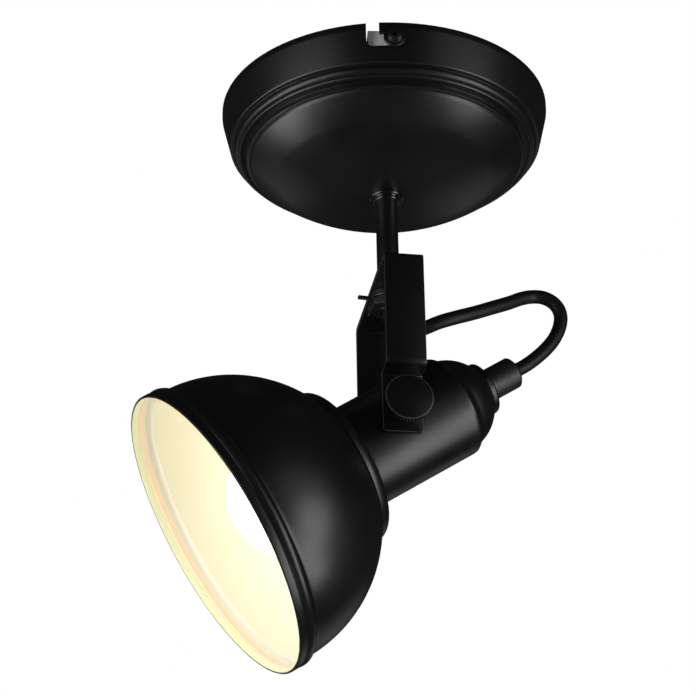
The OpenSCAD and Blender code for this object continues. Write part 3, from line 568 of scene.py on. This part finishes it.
# %% The cable's map and joints
places = {}
run = 0.0
for number, loop in enumerate(rings):
    if number:
        run += (cable_line[number] - cable_line[number - 1]).length
    for v in loop:
        places[v] = [0.0, run]
for loop, spot, way in zip(rings, cable_line, facing):
    across = way.cross(Vector((0.3, 1, 0.2))).normalized()
    beside = way.cross(across)
    for v in loop:
        off = v.co - spot
        places[v][0] = math.atan2(off.dot(beside), off.dot(across)) / (2 * math.pi) % 1
uv = bm.loops.layers.uv.new("braid")
for face in bm.faces:
    turns = [places[c.vert][0] for c in face.loops]
    wraps = max(turns) - min(turns) > 0.5 and len(turns) == 4
    for c in face.loops:
        u, v = places[c.vert]
        c[uv].uv = (u + 1 if wraps and u < 0.5 else u, v)
mesh = bpy.data.meshes.new("cable_sleeve")
bm.to_mesh(mesh)
bm.free()
cable = bpy.data.objects.new("cable_sleeve", mesh)
bpy.context.scene.collection.objects.link(cable)
finished(cable, braid, None, ["cable"])
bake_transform(cable)

# %% [markdown]
# ## The canopy
#
# The canopy is spun from one steel disc. Its skirt leans in, two beads stiffen its foot, a flat ledge follows and
# then a full dome down to the stem. The outline runs down the outside and back up the inside, a wall apart.

# %% The canopy's dome
STEM_HOLE = 4.05
DOME_R, DOME_TOP, DOME_DEPTH = 48.2, -18.8, 17
FLARE_R = 40.0


def dome(inset, steps=30):
    start, stop = math.acos(FLARE_R / DOME_R), math.acos(STEM_HOLE / DOME_R)
    turns = [start + (stop - start) * k / steps for k in range(steps + 1)]
    flare = bulge((51.0, -20.4), (FLARE_R, -28.29), 0.32, 16)[1:-1]
    line = flare + [Vector((DOME_R * math.cos(a), DOME_TOP - DOME_DEPTH * math.sin(a))) for a in turns]
    moved = []
    for here, there in zip(line, line[1:]):
        out = Vector((-(there - here).y, (there - here).x)).normalized()
        moved.append(here - out * inset)
    return moved + [line[-1] + Vector((0, inset))]


print("the dome comes down to", DOME_TOP - DOME_DEPTH, "mm")

# %% [markdown]
# The skirt, the two beads and the ledge join the dome. Each bead is a swell between two points, and the corners
# beside it stay crisp, because the tool that pressed them was pushed into the spinning disc there.

# %% The canopy's outline
CANOPY_WALL = 1.0
canopy_outside = (
    rounded([(59.0, 0), (60.0, 0, 0.3), (60.0, -2.5, 3), (57.1, -14.7, 0.95), (55.65, -14.95)], 7)
    + bulge((55.6, -15.0), (54.15, -17.55), 0.7, 14)
    + bulge((54.15, -17.55), (53.2, -18.6), 0.34, 10)[1:]
    + rounded([(53.1, -18.5), (52.9, -18.4, 0.05), (51.0, -18.4, 0.12), (51.0, -20.4, 0.1), (50.0, -20.9)], 3)
    + dome(0)[1:])
canopy_inside = (
    dome(CANOPY_WALL)[:1:-1]
    + rounded([(50.0, -20.3), (50.0, -17.4, 0.5), (52.4, -17.4, 0.8), (56.2, -14.1, 2), (59.0, -2.5, 3), (59.0, 0)]))
print("canopy outline", len(canopy_outside) + len(canopy_inside), "points")

# %% [markdown]
# Two L-shaped slots let the canopy hang on the side screws: up over a screw, then a short turn to lock. The slot
# is a cutter of the same form, a bar down from the rim and a run to the screw with rounded ends, and a Boolean
# takes it away.

# %% The canopy and its slots
LOCK_TURN = 7.3
SLOT_HALF, SCREW_DROP, SLOT_RUN = 2.3, 6.5, 7.43
canopy = placed(spun(canopy_outside + canopy_inside[:-1], steps=180), lowered(0), "canopy")


def slot_cutter(side):
    corner = arc((0, -SCREW_DROP), SLOT_HALF, 180, 270, 10)
    end = arc((SLOT_RUN, -SCREW_DROP), SLOT_HALF, -90, 90, 16)
    bm = raised([(-SLOT_HALF, 2.0)] + corner + end + [(SLOT_HALF, -4.2), (SLOT_HALF, 2.0)], 12)
    where = rotated(side - LOCK_TURN, "Z") @ Matrix.Translation((0, -0.054, 0))
    return placed(bm, where @ rotated(90, "X"), "slot_cutter")


cut_away(canopy, slot_cutter(0), slot_cutter(180))
finished(canopy, black_paint, "canopy", ["canopy_shell"], angle=35)

# %% [markdown]
# A turned collar covers the hole where the stem leaves the dome. The stem is plain tube, painted like the rest,
# and its spigot carries the washers under the strap.

# %% Collar and stem
collar = placed(spun(rounded([(STEM_HOLE, 0), (4.75, 0, 0.5), (4.75, 1.4, 0.1), (6.05, 1.4, 0.45), (6.05, 2.8, 0.2),
                              (STEM_HOLE, 2.8)]), steps=64), lowered(38.43), "collar")
finished(collar, trim_paint, "canopy", ["stem_collar"])
stem = placed(spun(rounded([(2.7, 0), (3.7, 0, 0.3), (3.7, 8.3, 0.1), (4.0, 8.3, 0.1), (4.0, 61.5, 0.4),
                            (2.7, 61.5)]), steps=64), lowered(83.5), "stem")
finished(stem, black_paint, "canopy", ["stem_tube"])

# %% [markdown]
# ## Screws
#
# A washer head is a low dome with a cross recess on a round flange. The head is spun, and two crossed wedges that
# narrow downwards cut the recess. The side screws hold the canopy and are plated black.

# %% Pan head screws


def pan_screw(shank_r, head_r, head_h, length, where, name):
    flange_h, cap_r = head_h * 0.36, head_r * 0.64
    top = bulge((cap_r, head_h * 0.7), (0, head_h), -head_h * 0.1, 12)
    bm = spun(rounded([(0, -length), (shank_r, -length, 0.3), (shank_r, 0, 0.05), (head_r, 0, 0.15),
                       (head_r, flange_h, 0.35), (cap_r + 0.35, flange_h, 0.1), (cap_r, flange_h + 0.15, 0.1),
                       (cap_r, head_h * 0.7)]) + top[1:], steps=48, closed=False)
    screw = placed(bm, where, name)
    bars = []
    for turn in (20, 110):
        bm = bmesh.new()
        bmesh.ops.create_cube(bm, size=1, matrix=Matrix.Diagonal((head_r * 0.85, head_r * 0.2, head_h * 1.3, 1)))
        bmesh.ops.scale(bm, vec=(0.5, 0.7, 1), verts=[v for v in bm.verts if v.co.z < 0])
        spot = where @ Matrix.Translation((0, 0, head_h * MM)) @ rotated(turn, "Z")
        bars.append(placed(bm, spot, name + "_bar"))
    cut_away(screw, *bars)
    return screw


SEAT_Y = -60.13
for name, turn in (("side_screw_front", 0), ("side_screw_back", 180)):
    spot = rotated(turn, "Z") @ Matrix.Translation((0, SEAT_Y * MM, -SCREW_DROP * MM)) @ rotated(90, "X")
    screw = pan_screw(2.0, 3.9, 2.4, 9.0, spot, name)
    finished(screw, black_zinc, "bracket", ["side_screws"])

# %% [markdown]
# ## The bracket
#
# The bracket and the strap are both bent from flat bar. Half of the side view is enough, because the other half
# mirrors it. It is raised to the bar's width, its edges are softened, and round drills bore it. Pieces that are
# welded on are joined into one mesh.

# %% Bars and drills


def drill(radius, length, where):
    bm = bmesh.new()
    bmesh.ops.create_cone(bm, cap_ends=True, segments=40, radius1=radius, radius2=radius, depth=length)
    return placed(bm, where, "drill")


def bar(half, width, where, name, soft, tip_z=None, tip_round=0.0, edge=-1):
    other = [(-x, z) for x, z in half[::-1]]
    bm = raised(half[1:-1] + other[1:-1], width)
    bmesh.ops.translate(bm, vec=(0, 0, -width / 2), verts=bm.verts)
    if tip_round:
        across = [e for e in bm.edges if abs(e.verts[0].co.z - e.verts[1].co.z) < 0.1]
        soften(bm, [e for e in across if all(abs(v.co.y - tip_z) < 0.01 for v in e.verts)], tip_round, segments=5)
    # Given an edge index, these bevels take the painted edge highlight.
    soften(bm, [e for e in bm.edges if e.calc_face_angle(0) > 0.9], soft, material=edge)
    return placed(bm, where @ rotated(90, "Z") @ rotated(90, "X"), name)


def joined(thing, *others):
    bm = bmesh.new()
    for part in (thing, *others):
        bm.from_mesh(part.data)
    bm.to_mesh(thing.data)
    bm.free()
    for part in others:
        bpy.data.objects.remove(part)
    return thing


print("bars and drills ready")

# %% [markdown]
# The bracket is galvanised strip, bent down at both ends, with slots for the ceiling screws, a bore for the supply
# cable and threaded bosses for the side screws. Only its end shows, pale in the canopy's slot.

# %% The bracket
TAB_Y = 55.62
CEILING_SLOT = 33
strip = bar([(0, 0)] + arc((TAB_Y - 1.8, -1.8), 1.8, 90, 0) + [(TAB_Y, -11), (TAB_Y - 1.5, -11)]
            + arc((TAB_Y - 1.8, -1.8), 0.3, 0, 90) + [(0, -1.5)], 18, Matrix.Identity(4), "bracket", 0.1)
stadium = arc((0, 4.5), 2.5, 0, 180) + arc((0, -4.5), 2.5, 180, 360)
slots = [placed(raised([(x, y + side) for x, y in stadium], 8), lowered(4), "slot")
         for side in (CEILING_SLOT, -CEILING_SLOT)]
SIDEWAYS = lowered(SCREW_DROP) @ rotated(90, "X")
cut_away(strip, drill(5, 8, lowered(0)), drill(2.02, 8, Matrix.Translation((0, -0.014, 0))),
         drill(1.52, 8, Matrix.Translation((0.0045, 0.014, 0))), drill(2.02, 140, SIDEWAYS), *slots)
boss_line = [(2.02, 52.12), (3.5, 52.12, 0.2), (3.5, 54.6), (2.02, 54.6)]
bosses = [placed(spun(rounded(boss_line), steps=40), where, "boss")
          for where in (SIDEWAYS, SIDEWAYS @ rotated(180, "X"))]
finished(joined(strip, *bosses), zinc, "bracket", ["mounting_bracket"], angle=30)

# %% [markdown]
# The wiring parts inside the canopy and in the cup are small and hidden, so their frame solids stay as they are.
# They only get their finishes.

# %% Small fittings that keep their solids


def keep(names, finish):
    for name in names:
        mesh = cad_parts[name].data
        mesh.materials.clear()
        mesh.materials.append(finish)
    print(", ".join(names), "->", finish.name)


keep(["terminal_block"], block_plastic)
keep(["terminal_inserts", "earth_screw", "lampholder_shell", "lampholder_contact", "lampholder_terminals"], brass)
keep(["terminal_screws", "terminal_fixing_screw", "earth_lug", "stem_locknut", "stem_lock_washer", "pivot_nuts"],
     bright_zinc)
keep(["gland_nut"], gland_plastic)
keep(["lampholder_body", "shade_ring"], holder_plastic)
keep(["canopy_leads", "head_leads"], core_finish)
keep(["bulb_insulator"], insulator_glass)
keep(["bulb_cap"], cap_metal)
keep(["stem_cable", "gland_cable"], gland_plastic)

# %% [markdown]
# ## The strap
#
# The strap is one steel bar, bent into a yoke: a web under the stem, two arms, a step in and two ears. Its side
# view is drawn once, as straight runs with an arc at each bend. The ears' tips are rounded, the long edges are
# softened and carry a painted highlight in grey paint, and the holes are bored last.

# %% The strap
EAR_TIP = -139.7
half = ([(0, -75.2)] + arc((28.2, -77.2), 2.0, 90, 0) + arc((28.2, -116.4), 2.0, 0, -90)
        + arc((20.95, -118.9), 0.5, 90, 180) + [(20.45, EAR_TIP), (18.95, EAR_TIP)]
        + arc((20.95, -118.9), 2.0, 180, 90) + arc((28.2, -116.4), 0.5, -90, 0)
        + arc((28.2, -77.2), 0.5, 0, 90) + [(0, -76.7)])
# The strap's long edges take the painted edge highlight.
strap = bar(half, 14, STRAP, "strap", 0.2, tip_z=EAR_TIP, tip_round=1.0, edge=1)
cut_away(strap, drill(3.8, 10, lowered(76)), drill(2.2, 80, EAR_FRONT))
finished(strap, [strap_paint, painted_edge_highlight], "yoke", ["yoke_strap"], angle=35)

# %% [markdown]
# Under the strap's web come a fibre washer, a stop washer with one finger, a split spring washer and the nut. The
# finger meets a pin in the strap, which ends the swivel. A flat on the stem keeps the stop washer from turning.

# %% Washers
SPIGOT_BORE = 3.75


def washer(bore, radius, thick, where, name):
    return placed(spun(rounded([(bore, 0), (radius, 0, 0.2), (radius, thick, 0.2), (bore, thick)]), steps=64), where,
                  name)


def block(size, where, name):
    bm = bmesh.new()
    bmesh.ops.create_cube(bm, size=1, matrix=Matrix.Diagonal((*size, 1)))
    return placed(bm, where, name)


friction = washer(SPIGOT_BORE, 7, 1.4, lowered(78.1), "friction_washer")
finished(friction, gland_plastic, "canopy", ["friction_washer"])

# %% [markdown]
# The stop washer is a round plate with one finger, so its outline is drawn flat and raised. Its bore has one flat
# side, which fits the flat on the stem.

# %% Stop washer
FINGER = rotated(192.5, "Z")
PLATE_R, FINGER_TIP, FINGER_HALF, FLAT = 6.9, 11.4, 0.75, 3.35
edge_angle = math.degrees(math.asin(FINGER_HALF / PLATE_R))
key = arc((0, 0), PLATE_R, edge_angle, 360 - edge_angle, 60) + [(FINGER_TIP, -FINGER_HALF), (FINGER_TIP, FINGER_HALF)]
stop = placed(raised(key, 1.1, edge=0.12), FINGER @ lowered(79.2), "stop_washer")
flat = math.degrees(math.acos(FLAT / SPIGOT_BORE))
bore = raised(arc((0, 0), SPIGOT_BORE, flat - 180, 180 - flat, 40), 6)
cut_away(stop, placed(bore, FINGER @ lowered(82), "bore"))
finished(stop, black_steel, "canopy", ["stop_washer"])

# %% [markdown]
# The spring washer is split, so a narrow block cuts its ring open. The nut is a hexagon, 13 mm over its flats,
# chamfered on the side that shows. It stands turned as in the photograph.

# %% Spring washer and nut
spring = washer(SPIGOT_BORE, 6, 1.0, lowered(80.2), "spring_washer")
cut_away(spring, block((4, 0.8, 4), lowered(79.7) @ Matrix.Translation((0.005, 0, 0)), "gap"))
finished(spring, black_steel, "canopy", ["spring_washer"])
NUT_HALF = 6.5
corner = NUT_HALF / math.cos(math.radians(30))
hexagon = [(corner * math.cos(math.radians(a)), corner * math.sin(math.radians(a))) for a in range(0, 360, 60)]
bm = raised(hexagon, 2.6)
soften(bm, [e for e in bm.edges if all(v.co.z < 0.1 for v in e.verts)], 0.4, segments=3)
nut = placed(bm, lowered(82.8) @ rotated(40.5, "Z"), "swivel_nut")
cut_away(nut, drill(3.72, 10, lowered(81)))
finished(nut, black_steel, "canopy", ["swivel_nut"])

# %% [markdown]
# A short pin is pressed into the strap for the finger to meet. A split washer sits under each hand screw.

# %% Stop pin and lock washers
EAR_FACE = 20.45
pin_spot = STRAP @ rotated(116, "Z") @ Matrix.Translation((0.0115, 0, -0.0799))
pin = placed(spun(rounded([(0, 0), (1, 0, 0.3), (1, 4.7, 0.05), (0, 4.7)]), steps=32, closed=False), pin_spot, "pin")
finished(pin, black_zinc, "yoke", ["stop_pin"])
for name, where in (("front", EAR_FRONT), ("back", EAR_BACK)):
    seat = where @ Matrix.Translation((0, 0, EAR_FACE * MM))
    lock = washer(2.2, 3.9, 0.9, seat, "lock_washer_" + name)
    cut_away(lock, block((4, 0.8, 4), seat @ Matrix.Translation((0.003, 0, 0)), "gap"))
    finished(lock, black_zinc, "yoke", ["pivot_washers"])

# %% [markdown]
# ## Hand screws
#
# Each hand screw is turned steel, painted black: a shank, a plain collar and a knurled disc. The disc starts as a
# ring of points. Every second one is drawn in for the knurl's valleys, the ring is raised, and its rims are
# chamfered and carry a painted highlight in grey paint.

# %% Hand screws
FLUTES = 48
DISC_R, DISC_THICK, DISC_AT = 8.4, 2.6, 31.05
VALLEY = 0.966


def hand_screw(where, name, body, solid):
    bm = bmesh.new()
    ring = bmesh.ops.create_circle(bm, segments=FLUTES * 2, radius=DISC_R)["verts"]
    valleys = [v for v in ring if round(math.degrees(math.atan2(v.co.y, v.co.x)) / (180 / FLUTES)) % 2]
    bmesh.ops.scale(bm, vec=(VALLEY, VALLEY, 1), verts=valleys)
    face = bm.faces.new(ring)
    side = bmesh.ops.extrude_face_region(bm, geom=[face])["geom"]
    bmesh.ops.translate(bm, vec=(0, 0, DISC_THICK), verts=[v for v in side if isinstance(v, bmesh.types.BMVert)])
    bmesh.ops.recalc_face_normals(bm, faces=bm.faces)
    # The chamfered rims take the painted edge highlight.
    soften(bm, [e for e in bm.edges if abs(e.verts[0].co.z - e.verts[1].co.z) < 0.1], 0.3, material=1)
    bmesh.ops.translate(bm, vec=(0, 0, DISC_AT), verts=bm.verts)
    disc = placed(bm, where, name)
    shaft = placed(spun(rounded([(0, 13.65), (2, 13.65, 0.3), (2, 21.35, 0.05), (4.1, 21.35, 0.25),
                                 (4.1, 31.1, 0.2), (0, 31.1)]), steps=48, closed=False), where, name + "_shaft")
    return finished(joined(disc, shaft), [strap_paint, painted_edge_highlight], body, [solid], angle=30)


hand_screw(EAR_FRONT, "hand_screw_front", "front_thumb_screw", "thumb_screw_front")
hand_screw(EAR_BACK, "hand_screw_back", "back_thumb_screw", "thumb_screw_back")

# %% [markdown]
# ## The head
#
# The cup is drawn steel. Its cylinder steps in to a domed back and a boss for the gland. The outline runs along
# the outside to the open end and back inside.

# %% The cup
cup_outside = (rounded([(5.0, -39.7), (9.7, -39.7, 0.9), (9.7, -37.5, 0.2), (10.7, -36.5)])
               + bulge((10.75, -36.45), (16.5, -27.5), -0.85, 14)
               + rounded([(16.55, -27.4), (16.8, -27.0, 0.3), (18.45, -24.9, 0.9), (18.6, -23.9, 1.2),
                          (18.6, 16.95, 0.15), (17.6, 16.95)]))
cup_inside = (rounded([(17.6, 16.9), (17.6, -23.2, 1), (15.5, -27.4, 1), (15.4, -27.5)])
              + bulge((15.4, -27.5), (9.8, -36.0), 0.85, 14)[1:] + [(8.7, -38.2), (5.0, -38.2)])
cup = placed(spun(cup_outside + cup_inside, steps=128), HEAD, "cup")
cut_away(cup, drill(3.05, 60, EAR_FRONT))
finished(cup, black_paint, "head", ["neck_cup"], angle=35)

# %% [markdown]
# The shade is spun too: a flat floor, a rounded collar, a fine groove, the bell and a rolled rim. The bell is
# part of an ellipse. Inset by the wall, the same lines make the inside.

# %% The shade's outline
SHADE_WALL = 1.0
FLOOR_AT, BELL_AT, MOUTH_AT = 17, 25.0, 66
MOUTH_R, BELL_DEPTH = 51.1, 50.3
COLLAR_X, COLLAR_Z, COLLAR_R = 24.2, 24.1, 4.6


def shade_line(inset, steps=44):
    turn = arc((COLLAR_X, COLLAR_Z), COLLAR_R - inset, -67, 0)
    start = math.acos((MOUTH_AT - BELL_AT) / BELL_DEPTH)
    turns = [start + (math.pi / 2 - start) * k / steps for k in range(steps + 1)]
    bell = [((MOUTH_R - inset) * math.sin(a), MOUTH_AT - (BELL_DEPTH - inset) * math.cos(a)) for a in turns]
    foot = turn[0][0] - (turn[0][1] - FLOOR_AT - inset) / math.tan(math.radians(23))
    return [(14.4, FLOOR_AT + inset), (foot, FLOOR_AT + inset)] + turn + [(28.5 - inset, 24.6)] + bell


def rim_line(inset):
    r = MOUTH_R - inset
    return (bulge((r + 0.1, 66.4), (r + 1.35, 70.6), -0.95, 10)
            + rounded([(r + 1.35, 70.65), (r + 1.15, 71.0, 0.15), (r + 1.6, 71.4, 0.3), (r + 1.6, 73.6, 0.25)], 4))


outside = shade_line(0) + rim_line(0) + [(52.68, 73.75), (52.5, 74.0)]
inside = shade_line(SHADE_WALL) + rim_line(SHADE_WALL) + [(51.7, 73.75), (51.9, 74.0)]
print("shade outline", len(outside) + len(inside), "points")

# %% [markdown]
# Paint goes on the outside and enamel on the inside. After the spin, a face belongs to the inside if it looks
# towards the bell's middle. The very lip stays black.

# %% The shade
LIP_AT = 73.9
bm = spun(outside + inside[::-1], steps=160)
middle = Vector((0, 0, MOUTH_AT))
for face in bm.faces:
    centre = face.calc_center_median()
    face.material_index = 1 if face.normal.dot(middle - centre) > 0 and centre.z < LIP_AT else 0
shade = placed(bm, HEAD, "shade_bell")
finished(shade, [black_paint, enamel], "head", ["shade"], angle=24)

# %% [markdown]
# The gland is a moulded barrel on a thin flange, with a chamfered end round the cable. It is one more spun outline,
# and its bore stays open for the cable.

# %% The gland
gland = placed(spun(rounded([(2.55, -53.3), (4.3, -53.3, 0.3), (5.8, -52.2, 0.8), (5.8, -41.2, 0.1),
                             (6.7, -41.0, 0.25), (6.7, -39.7, 0.2), (4.8, -39.7, 0.1), (4.8, -34.7, 0.3),
                             (2.55, -34.7)]), steps=72), HEAD, "gland")
finished(gland, gland_plastic, "head", ["cable_gland"], angle=30)

# %% [markdown]
# The bulb is a ball that narrows to the screw cap. Its glass is one closed skin, spun from the cap round to the
# axis and back inside, with the wall the frame's solid has.

# %% The bulb
BULB_R, BULB_MIDDLE, BALL_FOOT = 22.5, 42, 18.9
GLASS_WALL = 0.8


def globe(inset):
    start = -math.asin(BALL_FOOT / BULB_R)
    turns = [start + (math.pi / 2 - start) * k / 36 for k in range(37)]
    ball = [((BULB_R - inset) * math.cos(a), BULB_MIDDLE + (BULB_R - inset) * math.sin(a)) for a in turns]
    return [(8.2 - inset, 11.5), (8.5 - inset, 14.0), (9.4 - inset, 17.2), (10.8 - inset, 20.3)] + ball


bulb = placed(spun(globe(0) + globe(GLASS_WALL)[::-1]), HEAD, "bulb")
finished(bulb, opal, "head", ["bulb_glass"], angle=50)

# %% [markdown]
# ## Light and background
#
# The photograph has a white background. The world is white where the camera looks, and dim for light that reaches
# the paint, because the studio around the lamp was dark. Only below, a little behind the lamp, does it brighten for
# gloss, as a pale table does. A dot product with that direction measures how near a reflection comes to it.

# %% World
PALE_SIDE = (0, 0.34, -0.94)
DIFFUSE_FILL = 0.15
world = bpy.data.worlds.new("studio")
bpy.context.scene.world = world
world.use_nodes = True
tree = world.node_tree
sky = tree.nodes["Background"]
rays = node(tree, "ShaderNodeLightPath")
seen = arithmetic(tree, "MAXIMUM", rays.outputs["Is Camera Ray"], rays.outputs["Is Transmission Ray"])
way = node(tree, "ShaderNodeTexCoord")
toward = node(tree, "ShaderNodeVectorMath", operation="DOT_PRODUCT")
toward.inputs[1].default_value = PALE_SIDE
tree.links.new(way.outputs["Generated"], toward.inputs[0])
dim = spread(tree, toward.outputs["Value"], 0.75, 0.96, 0.016, 0.12)
gloss = arithmetic(tree, "MULTIPLY", rays.outputs["Is Glossy Ray"], dim)
fill = arithmetic(tree, "MULTIPLY", rays.outputs["Is Diffuse Ray"], DIFFUSE_FILL)
level = arithmetic(tree, "MAXIMUM", seen, arithmetic(tree, "MAXIMUM", gloss, fill))
sky.inputs["Color"].default_value = (1, 1, 1, 1)
tree.links.new(level, sky.inputs["Strength"])
print("diffuse fill", DIFFUSE_FILL)

# %% [markdown]
# Eight soft lamps stand round the object. The two large ones to the left and the right of the camera draw the long
# highlights on the bell and the dome. The others, above, below and behind, lift what would sink into black. Each is
# set by its turn from the camera's side, its height, its distance, its size and its power in watts.

# %% Lamps
LAMP_AIM = Vector((0, 0, -0.11))
LAMPS = {
    "right_softbox": (61, -0.38, 1.0, (0.42, 0.56), 4.4),
    "left_softbox": (-60, -0.3, 1.0, (0.8, 0.6), 5),
    "right_fill": (50, 0.0, 1.0, (0.7, 0.5), 0.8),
    "left_fill": (-54, 0.0, 1.0, (0.7, 0.5), 0.4),
    "left_low": (-91, -0.63, 0.75, (0.8, 0.36), 4.7),
    "right_low": (74, -0.71, 0.75, (0.5, 0.34), 3.0),
    "left_back": (-156, -0.34, 1.0, (0.4, 0.5), 0.2),
    "right_back": (156, -0.34, 1.0, (0.4, 0.5), 0.18),
}


def soft_light(name, azimuth, height, distance, size, power):
    data = bpy.data.lights.new(name, "AREA")
    data.shape, data.size, data.size_y, data.energy = "RECTANGLE", size[0], size[1], power
    lamp = bpy.data.objects.new(name, data)
    lamp.visible_camera = False
    turn = math.radians(azimuth)
    lamp.location = Vector((math.sin(turn) * distance, -math.cos(turn) * distance, height))
    lamp.rotation_euler = (lamp.location - LAMP_AIM).to_track_quat("Z", "Y").to_euler()
    bpy.context.scene.collection.objects.link(lamp)


for name, setting in LAMPS.items():
    soft_light(name, *setting)
print("lamps", len(LAMPS))

# %% [markdown]
# A plain pale floor lies well below the lamp. It shows white to the camera, like the background. It is hidden from
# gloss, because it would grey the dome.

# %% Floor
FLOOR_Z, FLOOR_R = -1.4, 3.0
bm = bmesh.new()
bmesh.ops.create_circle(bm, cap_ends=True, segments=64, radius=FLOOR_R)
floor_mesh = bpy.data.meshes.new("floor")
bm.to_mesh(floor_mesh)
bm.free()
floor = bpy.data.objects.new("floor", floor_mesh)
floor.location.z = FLOOR_Z
floor.visible_glossy = False
bpy.context.scene.collection.objects.link(floor)
floor_finish, tree, shader = new_finish("pale_floor", (0.8, 0.8, 0.8), 0.9, specular=0.1)
rays = node(tree, "ShaderNodeLightPath")
glow = node(tree, "ShaderNodeEmission")
mixed = node(tree, "ShaderNodeMixShader")
tree.links.new(arithmetic(tree, "MULTIPLY", rays.outputs["Is Camera Ray"], 0.85), mixed.inputs["Fac"])
tree.links.new(shader.outputs["BSDF"], mixed.inputs[1])
tree.links.new(glow.outputs["Emission"], mixed.inputs[2])
tree.links.new(mixed.outputs["Shader"], tree.nodes["Material Output"].inputs["Surface"])
floor_mesh.materials.append(floor_finish)
print("floor at", FLOOR_Z, "m")

# %% [markdown]
# The Standard view shows colours as they are written. The pieces and their faces are counted.

# %% Colour and counts
bpy.context.scene.view_settings.view_transform = "Standard"
print("pieces", len(made), "faces", sum(made.values()))
